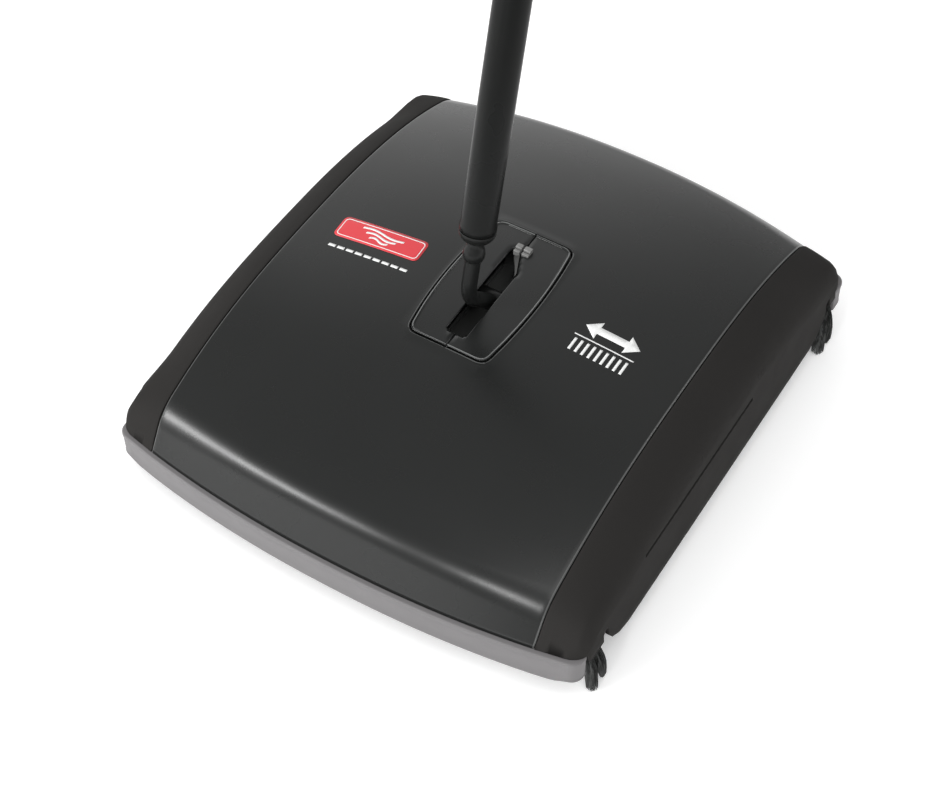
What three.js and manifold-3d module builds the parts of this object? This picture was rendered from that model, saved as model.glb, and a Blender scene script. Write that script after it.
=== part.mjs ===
// Carpet sweeper with a hinged stick handle, as separate solids.
// Millimetres. x runs across the sweeper, y along its travel, z = 0 is the floor.
// The handle leans back towards +y. Every length below is a real size of the object.
import * as THREE from 'three';
import { mergeVertices } from 'three/addons/utils/BufferGeometryUtils.js';
import Module from 'manifold-3d';

const wasm = await Module();
wasm.setup();

// ---------------------------------------------------------------- driving dimensions

const gap = 0.3; // clearance kept between two solids that touch

// Hood: a crowned sheet panel, bent down at the front and the rear.
const panelHalfWidth = 98;
const bendY = 119.1; // bend line at the panel's side edges
const bendBow = 8.8; // extra reach of the bend line at mid width
const bendZ = 45.5;
const bendLift = 4.5; // extra height of the bend line at mid width
const sideCrown = 20.1; // rise of the side edge above the bend
const middleCrown = 5.7; // further rise at mid width
const crownPower = 2.58; // above 2, the crown is flat in the middle and falls off at the ends
const bowPower = 2.17;
const footY = 129.9; // lower edge of the front and rear faces, at the side edges
const footBow = 7.9;
const footZ = 28.7;
const sheet = 1.4;

// Bumpers: soft strips along the front and the rear.
const bumperY = 132.1; // outer face at the panel's side edges
const bumperBottom = 12.2;
const bumperThickness = 4.9;
const bumperLedge = 2.1; // how far it stands out past the hood's lower edge
const bumperEndX = 118.2;
const bumperEndY = 121.2;
const bumperCornerRadius = 6;
const cornerSlope = 0.2; // fall of the bumper's line beyond the panel's side edges

// Side covers over the wheels.
const coverBreakX = 117.8; // edge between the sloping shoulder and the side wall
const coverBreakZ = 52;
const coverSkirtX = 120.3;
const coverBottom = 12.6;
const coverWall = 2.2;
const coverCornerRadius = 10;
const tuftY = 112; // the corner tufts hang here and are swept forwards at their tips
const tuftSweep = 6;
const coverEndY = 120.8; // reach of the cover below the bumper's top
const shoulderDrop = 12.8;

// Slot plate in the middle of the hood, made in two halves.
const plateCentreY = -1.3;
const plateHalfLength = 38.7;
const plateHalfWidth = 19.3;
const plateBulge = 3.2;
const slotHalfWidth = 5;
const slotFront = -32;
const slotRear = 23;

// Wheels and the brush roller that they turn by friction.
const wheelRadius = 24;
const wheelSides = 32;
const hubRadius = 19;
const drumRadius = 16;
const wheelInnerX = 101;
const wheelWidth = 10;
const rollerZ = 24.8;
const rollerTipRadius = 24;
const rollerCoreRadius = 9;
const rollerHalfLength = 91;
const shaftRadius = 3;
const axleRadius = 2.4;

// Dust pans.
const panHalfWidth = 91;
const panHingeY = 112;
const panHingeZ = 21;
const panFloorZ = 4.5;
const panWall = 1.4;
const panHingeRadius = 1.6;

// Inner frame.
const endPlateX = 95.4;
const endPlateThickness = 1.5;

// Handle.
const pivotY = -0.5;
const pivotZ = 62;
const pivotPinRadius = 2;
const elbowY = -22.2;
const elbowZ = 84;
const lean = THREE.MathUtils.degToRad(14.5);
const rodRadius = 3.5;
const tubeRadius = 7.8;
const tubeWall = 0.9;
const tubeLengths = [308, 290, 264.5];
const collarLength = 12;
const gripLength = 118;

// ---------------------------------------------------------------- materials

const material = (color, roughness, metalness = 0) =>
  new THREE.MeshStandardMaterial({ color, roughness, metalness });

const paintedSteel = material(0x3a3a3b, 0.42, 0.2);
const blackPlastic = material(0x2a2a29, 0.6);
const greyVinyl = material(0x97959a, 0.6);
const zincSteel = material(0xa4a6a8, 0.38, 0.9);
const blackSteel = material(0x2b2b2c, 0.45, 0.5);
const rubber = material(0x242424, 0.85);
const greyPlastic = material(0x8d8f92, 0.55);
const bristle = material(0x1f1e1d, 0.9);
const grippyVinyl = material(0x222223, 0.8);

// ---------------------------------------------------------------- solids

// Merges shared vertices and turns the faces outwards.
function closed(geometry) {
  const bare = geometry.index ? geometry.clone() : mergeVertices(geometry.clone());
  bare.deleteAttribute('normal');
  bare.deleteAttribute('uv');
  const merged = mergeVertices(bare, 1e-4);
  const p = merged.attributes.position;
  const index = merged.index.array;
  const [a, b, c] = [new THREE.Vector3(), new THREE.Vector3(), new THREE.Vector3()];
  let volume = 0;
  for (let i = 0; i < index.length; i += 3) {
    a.fromBufferAttribute(p, index[i]);
    b.fromBufferAttribute(p, index[i + 1]);
    c.fromBufferAttribute(p, index[i + 2]);
    volume += a.dot(b.cross(c));
  }
  if (volume < 0) {
    for (let i = 0; i < index.length; i += 3) [index[i], index[i + 1]] = [index[i + 1], index[i]];
  }
  return merged;
}

function toSolid(geometry) {
  const merged = closed(geometry);
  return new wasm.Manifold(new wasm.Mesh({
    numProp: 3,
    vertProperties: new Float32Array(merged.attributes.position.array),
    triVerts: new Uint32Array(merged.index.array),
  }));
}

function toGeometry(solid) {
  const mesh = solid.getMesh();
  const geometry = new THREE.BufferGeometry();
  geometry.setAttribute('position', new THREE.BufferAttribute(mesh.vertProperties, 3));
  geometry.setIndex(new THREE.BufferAttribute(mesh.triVerts, 1));
  return geometry;
}

const join = (first, ...rest) =>
  toGeometry(rest.reduce((solid, next) => solid.add(toSolid(next)), toSolid(first)));
const cut = (first, ...rest) =>
  toGeometry(rest.reduce((solid, next) => solid.subtract(toSolid(next)), toSolid(first)));
const meet = (first, second) => toGeometry(toSolid(first).intersect(toSolid(second)));

// A solid through rings of [x, y, z] points that all have the same count.
function loft(rings) {
  const count = rings[0].length;
  const index = [];
  for (let i = 0; i + 1 < rings.length; i += 1) {
    for (let j = 0; j < count; j += 1) {
      const [a, b] = [i * count + j, i * count + (j + 1) % count];
      index.push(a, b, b + count, a, b + count, a + count);
    }
  }
  const capTriangles = (ring) => {
    const extent = [0, 1, 2].map((k) => {
      const values = ring.map((point) => point[k]);
      return Math.max(...values) - Math.min(...values);
    });
    const flat = extent.indexOf(Math.min(...extent));
    const [u, v] = [0, 1, 2].filter((k) => k !== flat);
    return THREE.ShapeUtils.triangulateShape(ring.map((p) => new THREE.Vector2(p[u], p[v])), []);
  };
  const area = (ring, faces, k0, k1) => faces.reduce((sum, [a, b, c]) => sum
    + (ring[b][k0] - ring[a][k0]) * (ring[c][k1] - ring[a][k1])
    - (ring[c][k0] - ring[a][k0]) * (ring[b][k1] - ring[a][k1]), 0);
  const last = rings.length - 1;
  const capped = (ringIndex, outward) => {
    const ring = rings[ringIndex];
    const faces = capTriangles(ring);
    // The ring's own turning sense decides which way its cap faces.
    const planes = [[0, 1], [1, 2], [2, 0]];
    const signed = planes.map(([k0, k1]) => area(ring, faces, k0, k1));
    const main = signed.map(Math.abs).indexOf(Math.max(...signed.map(Math.abs)));
    const [k0, k1] = planes[main];
    const turning = ring.reduce((sum, p, i) => {
      const q = ring[(i + 1) % count];
      return sum + p[k0] * q[k1] - q[k0] * p[k1];
    }, 0);
    const same = Math.sign(turning) === Math.sign(signed[main]);
    for (const [a, b, c] of faces) {
      const keep = same === outward;
      const face = keep ? [a, b, c] : [a, c, b];
      index.push(...face.map((k) => k + ringIndex * count));
    }
  };
  capped(0, false);
  capped(last, true);
  const geometry = new THREE.BufferGeometry();
  geometry.setAttribute('position', new THREE.Float32BufferAttribute(rings.flat(2), 3));
  geometry.setIndex(index);
  return geometry;
}

const steps = (from, to, count) =>
  Array.from({ length: count + 1 }, (_, i) => from + ((to - from) * i) / count);

function block(x0, x1, y0, y1, z0, z1) {
  const geometry = new THREE.BoxGeometry(Math.abs(x1 - x0), Math.abs(y1 - y0), Math.abs(z1 - z0));
  return geometry.translate((x0 + x1) / 2, (y0 + y1) / 2, (z0 + z1) / 2);
}

// A plate across x, from an outline of [y, z] points.
const plateAcross = (x0, x1, outline) => loft([x0, x1].map((x) => outline.map(([y, z]) => [x, y, z])));

// A solid of revolution about the line through (y, z) along x; the profile holds [radius, x].
function turnedX(profile, y, z, sides) {
  const points = profile.map(([radius, x]) => new THREE.Vector2(radius, x));
  const geometry = new THREE.LatheGeometry(points, sides).rotateY(Math.PI / sides);
  return geometry.rotateZ(-Math.PI / 2).translate(0, y, z);
}

const rodAcross = (radius, x0, x1, y, z, sides = 20) =>
  turnedX([[0, x0], [radius, x0], [radius, x1], [0, x1]], y, z, sides);
const tubeAcross = (outer, inner, x0, x1, y, z, sides = 20) =>
  turnedX([[inner, x0], [outer, x0], [outer, x1], [inner, x1], [inner, x0]], y, z, sides);

// ---------------------------------------------------------------- hood surfaces

const bow = (x) => 1 - Math.min(1, Math.abs(x / panelHalfWidth)) ** bowPower;
const bendAt = (x) => bendY + bendBow * bow(x);
const footAt = (x) => footY + footBow * bow(x);
const bendZAt = (x) => bendZ + bendLift * bow(x);
const crownAt = (x) => sideCrown - bendLift * bow(x) + middleCrown * (1 - (x / panelHalfWidth) ** 2);

function hoodHeight(x, y) {
  const t = Math.min(1, Math.abs(y) / bendAt(x));
  return bendZAt(x) + crownAt(x) * (1 - t ** crownPower);
}

// One side profile of the hood at x, offset inwards by depth, front foot to rear foot.
function hoodProfile(x, depth) {
  const half = [];
  for (const t of [0, 0.2, 0.38, 0.54, 0.68, 0.8, 0.89, 0.955]) {
    const y = t * bendAt(x);
    const slope = (crownAt(x) * crownPower * t ** (crownPower - 1)) / bendAt(x);
    const length = Math.hypot(1, slope);
    half.push([y - (depth * slope) / length, hoodHeight(x, y) - depth / length]);
  }
  const [reach, drop] = [footAt(x) - bendAt(x), bendZAt(x) - footZ];
  const fall = Math.hypot(reach, drop);
  const levelFoot = 1 - (depth * reach) / (fall * drop);
  for (const [s, rounding] of [[0.12, 0.5], [0.35, 0.3], [levelFoot, 0]]) {
    const inwards = (depth + rounding) / fall;
    half.push([bendAt(x) + s * reach - inwards * drop, bendZAt(x) - s * drop - inwards * reach]);
  }
  const front = half.slice(1).reverse().map(([y, z]) => [-y, z]);
  return [...front, ...half];
}

// A sheet that follows the hood between two depths below its outer surface.
function hoodSheet(halfWidth, above, below, count) {
  return loft(steps(-halfWidth, halfWidth, count).map((x) => [
    ...hoodProfile(x, above), ...hoodProfile(x, below).reverse(),
  ].map(([y, z]) => [x, y, z])));
}

// The slot plate's barrel outline, inset by a distance, over one or both halves.
function plateOutline(inset) {
  const length = plateHalfLength - inset;
  const right = steps(-1, 1, 10).map((t) =>
    [plateHalfWidth - inset + plateBulge * (1 - t * t), plateCentreY + t * length]);
  return [...right, ...right.map(([x, y]) => [-x, y]).reverse()];
}
const upright = (outline, z0, z1) => loft([z0, z1].map((z) => outline.map(([x, y]) => [x, y, z])));

function topPanel() {
  const opening = upright(plateOutline(-gap), 40, 90);
  return cut(hoodSheet(panelHalfWidth - gap / 2, 0, sheet, 12), opening);
}

// One half of the slot plate, with a raised rim and one spring finger at the slot's rear end.
function slotPlate(side) {
  const body = meet(hoodSheet(26, -0.4, 2.4, 4), upright(plateOutline(0), 40, 90));
  const rim = cut(meet(hoodSheet(26, -1.2, 0.4, 4), upright(plateOutline(0), 40, 90)),
    upright(plateOutline(1.5), 40, 90));
  const slot = block(-slotHalfWidth, slotHalfWidth, slotFront, slotRear, 50, 90);
  const otherHalf = block(-side * 40, side * (gap / 2), -60, 60, 50, 90);
  const plate = cut(join(body, rim), slot, otherHalf);
  const fingerTop = hoodHeight(0, slotRear) + 3.6;
  const finger = loft([[0.9, 3.4, slotRear - 5, 66.8], [0.9, 3.4, slotRear + 5, 66.8]].map(
    ([inner, outer, y, z]) => [
      [side * inner, y, z], [side * (outer + 2.4), y, z], [side * outer, y, fingerTop],
      [side * inner, y, fingerTop]]));
  return join(plate, finger);
}

// ---------------------------------------------------------------- side covers

// The bumper's outer line beside the panel, moved inwards by depth.
const bumperLine = (x, depth) =>
  bumperY - cornerSlope * (x - panelHalfWidth) - depth * Math.hypot(1, cornerSlope);

// Rounds from that line to a wall at wallX; each point is [x, y, and the outward normal].
function cornerPath(depth, innerX, wallX, radius, count) {
  const facing = Math.atan2(1, cornerSlope);
  const startX = wallX - radius + radius * Math.cos(facing);
  const [centreX, centreY] = [wallX - radius, bumperLine(startX, depth) - radius * Math.sin(facing)];
  const arc = steps(facing, 0, count).map((angle) => {
    const [nx, ny] = [Math.cos(angle), Math.sin(angle)];
    return [centreX + radius * nx, centreY + radius * ny, nx, ny];
  });
  return [[innerX, bumperLine(innerX, depth), Math.cos(facing), Math.sin(facing)], ...arc];
}

// Height of the cover's shoulder, which falls away from the hood's side edge.
function shoulderHeight(x, y) {
  const past = Math.abs(y) - bendY;
  const endFall = (past * (bendZ - footZ)) / (footY - bendY);
  const seam = past > 0 ? bendZ - endFall : hoodHeight(panelHalfWidth, y);
  const across = Math.max(0, (x - panelHalfWidth) / (coverBreakX - panelHalfWidth));
  const ends = THREE.MathUtils.smoothstep(Math.abs(y), 85, 122);
  return seam - shoulderDrop * across ** 1.4 * (1 - 0.55 * ends);
}

// Plan outline of a cover at height z, inset by a distance, from innerX outwards.
function coverOutline(z, inset, innerX, reach) {
  const lean = (coverSkirtX - coverBreakX) / (coverBreakZ - coverBottom);
  const outerX = coverSkirtX - lean * (z - coverBottom) - inset;
  const corner = cornerPath(bumperLedge + inset, innerX, outerX, coverCornerRadius - inset, 4);
  const rear = corner.map(([x, y]) => [x, Math.min(y, reach)]);
  return [...rear.map(([x, y]) => [x, -y]), ...rear.reverse()];
}

// The cover's outside, or its inside when inset; it reaches further out above the bumper.
function coverVolume(inset, innerX, floorZ) {
  const stepZ = footZ + inset;
  const lowReach = coverEndY - inset;
  const heights = [[floorZ, lowReach], [stepZ - 0.05, lowReach], [stepZ + 0.05, 200], [74, 200]];
  const walls = loft(heights.map(([z, reach]) =>
    coverOutline(z, inset, innerX, reach).map(([x, y]) => [x, y, z])));
  const roof = loft([innerX - 2, 101, 105, 109, 113, 117, 123].map((x) => [
    ...steps(-132, 132, 26).map((y) => [x, y, shoulderHeight(x, y) - inset * 1.15]),
    [x, 132, floorZ - 5], [x, -132, floorZ - 5],
  ]));
  return meet(walls, roof);
}

function sideCover(side) {
  const shell = cut(coverVolume(0, panelHalfWidth + gap / 2, coverBottom),
    coverVolume(coverWall, panelHalfWidth - 6, 0));
  // Each end is cut away over the corner brush, with a narrow notch beside the wheel skirt.
  const endCut = [[88, 0], [88, 12.5], [96, 14.5], [102, 18.5], [104.6, 23], [104.6, 28], [106, 29.4],
    [107.6, 29.4], [109, 28], [109, 23.5], [140, 23.5], [140, 0]];
  const rearCut = plateAcross(80, 130, endCut);
  const frontCut = plateAcross(80, 130, endCut.map(([y, z]) => [-y, z]));
  const grooveX = coverSkirtX - 2.3;
  const groove = block(grooveX, 130, -73, 26, 39.2, 41);
  const cover = cut(shell, rearCut, frontCut, groove);
  return cover.scale(side, 1, 1);
}

// ---------------------------------------------------------------- bumpers and corner brushes

// The bumper's outer line in plan from mid width to its right end.
function bumperPath() {
  const front = steps(0, panelHalfWidth, 8).slice(0, -1).map((x) => {
    const slope = (footBow * bowPower * (x / panelHalfWidth) ** (bowPower - 1)) / panelHalfWidth;
    const length = Math.hypot(1, slope);
    return [x, bumperY + footBow * bow(x), slope / length, 1 / length];
  });
  const corner = cornerPath(0, panelHalfWidth, bumperEndX, bumperCornerRadius, 5);
  return [...front, ...corner, [bumperEndX, bumperEndY, 1, 0]];
}

function bumper(end) {
  const top = footZ - gap;
  const right = bumperPath();
  const left = right.slice(1).reverse().map(([x, y, nx, ny]) => [-x, y, -nx, ny]);
  const section = [[1.4, bumperBottom], [0, bumperBottom + 1.6], [0, top - 1], [0.7, top],
    [bumperThickness, top], [bumperThickness, bumperBottom]];
  return loft([...left, ...right].map(([x, y, nx, ny]) => section.map(([depth, z]) =>
    [x - depth * nx, end * (y - depth * ny), z])));
}

function cornerBrushHolder(side, end) {
  return block(side * 106.5, side * 115.6, end * 107.5, end * 116.5, 21.2, 28);
}

function cornerTuft(side, end) {
  const ring = (x, swept, z, radius) => steps(0, 2 * Math.PI, 10).slice(0, -1).map((angle) =>
    [side * (x + radius * Math.cos(angle)), end * tuftY - swept + radius * Math.sin(angle), z]);
  return loft([ring(111.5, 0, 20.9, 3.6), ring(113.6, 2, 12, 3.9), ring(116.4, tuftSweep, 1, 4.1)]);
}

// ---------------------------------------------------------------- inner frame

const wheelY = Math.sqrt((wheelRadius / Math.cos(Math.PI / wheelSides) + drumRadius + gap) ** 2
  - (wheelRadius - rollerZ) ** 2);

function endPlate(side) {
  const under = sheet + 1.2;
  const crown = steps(-112, 112, 16).map((y) => [y, hoodHeight(panelHalfWidth, y) - under]);
  const outline = [[-118, 26], [-118, 40], ...crown, [118, 40], [118, 26], [108, 15], [30, 15], [14, 12],
    [-14, 12], [-30, 15], [-108, 15]];
  const [x0, x1] = [side * endPlateX, side * (endPlateX + endPlateThickness)];
  const holes = [
    rodAcross(5 + gap, side * 90, side * 102, 0, rollerZ),
    rodAcross(axleRadius + gap, side * 90, side * 102, wheelY, wheelRadius),
    rodAcross(axleRadius + gap, side * 90, side * 102, -wheelY, wheelRadius),
    rodAcross(panHingeRadius + gap, side * 90, side * 102, panHingeY, panHingeZ, 16),
    rodAcross(panHingeRadius + gap, side * 90, side * 102, -panHingeY, panHingeZ, 16),
  ];
  return cut(plateAcross(x0, x1, outline), ...holes);
}

// An angle bar behind the front or rear face, between the end plates.
function crossBar(end) {
  const outline = [[117.5, 38], [117.5, 28], [127, 28], [127, 29.4], [118.9, 29.4], [118.9, 38]];
  const halfLength = endPlateX - gap;
  return plateAcross(-halfLength, halfLength, outline.map(([y, z]) => [end * y, z]));
}

// The bridge over the brush roller carries the handle's pivot between two ears.
function pivotBridge() {
  const halfLength = endPlateX - gap;
  const earShape = [[-7, 50.6], [-5, 64], [-2, 67], [2, 67], [5, 64], [7, 50.6]];
  const ears = [-1, 1].map((side) => plateAcross(side * 12, side * 13.6,
    earShape.map(([y, z]) => [pivotY + y, z])));
  const pinHole = rodAcross(pivotPinRadius + gap, -20, 20, pivotY, pivotZ);
  return cut(join(block(-halfLength, halfLength, -15, 15, 50.4, 51.8), ...ears), pinHole);
}

const pivotPin = () => turnedX([[0, -16.4], [3.6, -16.4], [3.6, -14.9], [pivotPinRadius, -14.9],
  [pivotPinRadius, 14.9], [3.6, 14.9], [3.6, 16.4], [0, 16.4]], pivotY, pivotZ, 20);

const rollerBearing = (side) => turnedX([[shaftRadius + gap, 94], [5, 94], [5, 97.3], [7, 97.3], [7, 99],
  [shaftRadius + gap, 99], [shaftRadius + gap, 94]].map(([r, x]) => [r, side * x]), 0, rollerZ, 20);

// ---------------------------------------------------------------- brush roller and wheels

const rollerShaft = () => rodAcross(shaftRadius, -113.5, 113.5, 0, rollerZ);
const rollerCore = () => tubeAcross(rollerCoreRadius, shaftRadius + gap, -rollerHalfLength,
  rollerHalfLength, 0, rollerZ);
const driveDrum = (side) => tubeAcross(drumRadius, shaftRadius + gap, side * wheelInnerX,
  side * (wheelInnerX + wheelWidth), 0, rollerZ, wheelSides);

// One row of bristles winding round the core as a V, highest turn at mid width.
function bristleRow(start) {
  const [root, tip, half] = [rollerCoreRadius + gap, rollerTipRadius, 2.2];
  return loft(steps(-rollerHalfLength + 2, rollerHalfLength - 2, 20).map((x) => {
    const angle = start + (Math.abs(x) / rollerHalfLength) * 1.2;
    const [c, s] = [Math.cos(angle), Math.sin(angle)];
    return [[root, -half], [tip, -half * 1.3], [tip, half * 1.3], [root, half]].map(([r, w]) =>
      [x, r * c - w * s, rollerZ + r * s + w * c]);
  }));
}

function wheelHub(side, end) {
  const [a, b] = [wheelInnerX, wheelInnerX + wheelWidth];
  const bore = axleRadius + gap;
  const profile = [[bore, a], [6, a], [6, a + 3], [16.5, a + 3], [16.5, a + 1], [hubRadius, a + 1],
    [hubRadius, b - 1], [16.5, b - 1], [16.5, a + 6], [6, a + 6], [6, b - 0.5], [bore, b - 0.5], [bore, a]];
  return turnedX(profile.map(([r, x]) => [r, side * x]), end * wheelY, wheelRadius, 20);
}

function wheelTyre(side, end) {
  const [a, b, inner] = [wheelInnerX, wheelInnerX + wheelWidth, hubRadius / Math.cos(Math.PI / 20) + gap];
  const outer = wheelRadius / Math.cos(Math.PI / wheelSides);
  const profile = [[inner, a + 0.5], [outer - 1, a], [outer, a + 1], [outer, b - 1], [outer - 1, b],
    [inner, b - 0.5], [inner, a + 0.5]];
  return turnedX(profile.map(([r, x]) => [r, side * x]), end * wheelY, wheelRadius, wheelSides);
}

function wheelAxle(side, end) {
  const r = axleRadius;
  const profile = [[0, 92.4], [4.2, 92.4], [4.2, 94.9], [r, 94.9], [r, 97.4], [4.4, 97.4], [4.4, 100.5],
    [r, 100.5], [r, 111.2], [4.2, 111.2], [3.4, 112.6], [0, 112.6]];
  return turnedX(profile.map(([radius, x]) => [radius, side * x]), end * wheelY, wheelRadius, 12);
}

// ---------------------------------------------------------------- dust pans

function dustPan(end) {
  const w = panWall;
  const [hingeY, floor, lipY, lipZ] = [panHingeY, panFloorZ, 25, 10.5];
  const side = [[hingeY + 1.4, panHingeZ - 2.4], [hingeY + 1.4, floor], [36, floor], [lipY, lipZ],
    [lipY + 1.6, lipZ + 3], [33, 15], [60, 17.5], [hingeY - 3.4, 18.6]];
  const inside = [[hingeY + 1.4 - w, 40], [hingeY + 1.4 - w, floor + w], [36.5, floor + w],
    [lipY + 0.6, lipZ + w + 0.3], [20, 13], [20, 40]];
  const place = (outline) => outline.map(([y, z]) => [end * y, z]);
  const tray = cut(plateAcross(-panHalfWidth, panHalfWidth, place(side)),
    plateAcross(-panHalfWidth + w, panHalfWidth - w, place(inside)));
  const barrelRadius = panHingeRadius + gap + 1.3;
  const barrel = rodAcross(barrelRadius, -panHalfWidth, panHalfWidth, end * hingeY, panHingeZ, 16);
  const bore = rodAcross(panHingeRadius + gap, -120, 120, end * hingeY, panHingeZ, 16);
  return cut(join(tray, barrel), bore);
}

const panHingeRod = (end) => rodAcross(panHingeRadius, -98.5, 98.5, end * panHingeY, panHingeZ, 12);

// ---------------------------------------------------------------- handle

// The handle's parts are lathed upright from the elbow, then leaned back and moved into place.
function onHandle(profile, sides = 20) {
  const points = profile.map(([radius, height]) => new THREE.Vector2(radius, height));
  return new THREE.LatheGeometry(points, sides).rotateX(Math.PI / 2);
}
const setOnHandle = (geometry) => geometry.rotateX(-lean).translate(0, elbowY, elbowZ);

// Heights along the handle, from the elbow.
const rodTop = 30;
const ferruleBottom = rodTop + gap;
const ferruleTop = 36;
const knuckleBottom = 20.8;
const tubeStart = ferruleTop + gap;

// A bent rod with a cross sleeve on the pivot pin; its upper leg is in line with the tube.
function yokeRod() {
  const pivot = new THREE.Vector3(0, pivotY, pivotZ);
  const elbow = new THREE.Vector3(0, elbowY, elbowZ);
  const up = new THREE.Vector3(0, Math.sin(lean), Math.cos(lean));
  const down = pivot.clone().sub(elbow).normalize();
  const bendReach = 9;
  const path = new THREE.CurvePath();
  const before = elbow.clone().addScaledVector(down, bendReach);
  const after = elbow.clone().addScaledVector(up, bendReach);
  path.add(new THREE.LineCurve3(pivot, before));
  path.add(new THREE.QuadraticBezierCurve3(before, elbow, after));
  path.add(new THREE.LineCurve3(after, elbow.clone().addScaledVector(up, rodTop)));
  const section = new THREE.Shape(steps(0, 2 * Math.PI, 14).slice(0, -1).map((angle) =>
    new THREE.Vector2(rodRadius * Math.cos(angle), rodRadius * Math.sin(angle))));
  const rod = new THREE.ExtrudeGeometry(section, { steps: 20, bevelEnabled: false, extrudePath: path });
  const sleeve = rodAcross(5, -10.5, 10.5, pivotY, pivotZ);
  const bore = rodAcross(pivotPinRadius + gap, -20, 20, pivotY, pivotZ);
  return cut(join(rod, sleeve), bore);
}

// A collar crimped round the rod under the tube.
function knuckle() {
  const [bore, neck, belly] = [rodRadius + gap, 4.4, 4.9];
  return setOnHandle(onHandle([[bore, knuckleBottom], [neck, knuckleBottom], [belly, knuckleBottom + 1.6],
    [belly, knuckleBottom + 4], [neck, knuckleBottom + 7], [neck, rodTop], [bore, rodTop],
    [bore, knuckleBottom]], 16));
}

// A plastic plug in the foot of the tube, with a lip that shows.
function ferrule() {
  const plug = tubeRadius - tubeWall - gap;
  const [lip, plugTop] = [tubeRadius + 0.5, ferruleTop + 22];
  return setOnHandle(onHandle([[0, ferruleBottom], [lip - 1.7, ferruleBottom], [lip, ferruleBottom + 2.4],
    [lip, ferruleTop - 0.6], [lip - 0.4, ferruleTop], [plug, ferruleTop], [plug, plugTop], [0, plugTop]]));
}

const tubeBottoms = tubeLengths.map((_, i) =>
  tubeStart + tubeLengths.slice(0, i).reduce((sum, length) => sum + length + collarLength + 2 * gap, 0));

function handleTube(i) {
  const inner = tubeRadius - tubeWall;
  const [low, high] = [tubeBottoms[i], tubeBottoms[i] + tubeLengths[i]];
  return setOnHandle(onHandle([[inner, low], [tubeRadius, low], [tubeRadius, high], [inner, high],
    [inner, low]], 24));
}

// A collar between two tubes, with a plug that reaches into each.
function tubeJoiner(i) {
  const low = tubeBottoms[i] + tubeLengths[i] + gap;
  const high = low + collarLength;
  const plug = tubeRadius - tubeWall - gap;
  return setOnHandle(onHandle([[0, low - 24], [plug, low - 24], [plug, low], [tubeRadius + 0.9, low],
    [tubeRadius + 1.3, low + 2], [tubeRadius + 1.3, high - 2], [tubeRadius + 0.9, high], [plug, high],
    [plug, high + 24], [0, high + 24]]));
}

const tubesTop = tubeBottoms[2] + tubeLengths[2];
const gripBottom = tubesTop + gap;

function grip() {
  const gripTop = gripBottom + gripLength;
  const belly = steps(0, 1, 6).map((s) =>
    [tubeRadius + 2.2 + 2 * Math.sin(Math.PI * s), gripBottom + 4 + s * (gripLength - 8)]);
  return setOnHandle(onHandle([[0, gripBottom], [tubeRadius + 1.6, gripBottom], ...belly,
    [tubeRadius + 1, gripTop], [0, gripTop]], 24));
}

// A flat eye on the grip, to hang the sweeper up by.
function hangEye() {
  const low = gripBottom + gripLength + gap;
  const body = new THREE.CylinderGeometry(11, 11, 5, 28).translate(0, 0, low + 14);
  const foot = block(-6, 6, -2.5, 2.5, low, low + 8);
  const hole = new THREE.CylinderGeometry(6, 6, 20, 20).translate(0, 0, low + 14);
  return setOnHandle(cut(join(body, foot), hole));
}

// ---------------------------------------------------------------- assembly

const model = new THREE.Group();
function add(name, geometry, meshMaterial) {
  const clean = closed(geometry);
  clean.computeVertexNormals();
  const mesh = new THREE.Mesh(clean, meshMaterial);
  mesh.name = name;
  model.add(mesh);
}

const sides = { left: -1, right: 1 };
const ends = { front: -1, rear: 1 };

add('top_panel', topPanel(), paintedSteel);
add('pivot_bridge', pivotBridge(), blackSteel);
add('pivot_pin', pivotPin(), blackSteel);
for (const [sideName, side] of Object.entries(sides)) {
  add(`slot_plate_${sideName}`, slotPlate(side), blackPlastic);
  add(`side_cover_${sideName}`, sideCover(side), blackPlastic);
  add(`end_plate_${sideName}`, endPlate(side), zincSteel);
  add(`roller_bearing_${sideName}`, rollerBearing(side), greyPlastic);
  add(`drive_drum_${sideName}`, driveDrum(side), rubber);
  for (const [endName, end] of Object.entries(ends)) {
    add(`wheel_hub_${endName}_${sideName}`, wheelHub(side, end), greyPlastic);
    add(`wheel_tyre_${endName}_${sideName}`, wheelTyre(side, end), rubber);
    add(`wheel_axle_${endName}_${sideName}`, wheelAxle(side, end), zincSteel);
    add(`corner_holder_${endName}_${sideName}`, cornerBrushHolder(side, end), blackPlastic);
    add(`corner_tuft_${endName}_${sideName}`, cornerTuft(side, end), bristle);
  }
}
for (const [endName, end] of Object.entries(ends)) {
  add(`bumper_${endName}`, bumper(end), greyVinyl);
  add(`cross_bar_${endName}`, crossBar(end), zincSteel);
  add(`dust_pan_${endName}`, dustPan(end), blackPlastic);
  add(`pan_hinge_rod_${endName}`, panHingeRod(end), zincSteel);
}
add('roller_shaft', rollerShaft(), zincSteel);
add('roller_core', rollerCore(), greyPlastic);
for (const row of [1, 2, 3, 4]) add(`bristle_row_${row}`, bristleRow(((row - 1) * Math.PI) / 2), bristle);
add('yoke_rod', yokeRod(), blackSteel);
add('knuckle', knuckle(), blackSteel);
add('handle_ferrule', ferrule(), blackPlastic);
['lower', 'middle', 'upper'].forEach((name, i) => add(`handle_tube_${name}`, handleTube(i), blackSteel));
['lower', 'upper'].forEach((name, i) => add(`tube_joiner_${name}`, tubeJoiner(i), blackPlastic));
add('grip', grip(), grippyVinyl);
add('hang_eye', hangEye(), blackPlastic);

// The row's origin is the middle of the box under the whole object, handle included.
const box = new THREE.Box3().setFromObject(model);
model.position.y = -(box.min.y + box.max.y) / 2;
model.updateMatrixWorld(true);

export default model;
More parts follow.
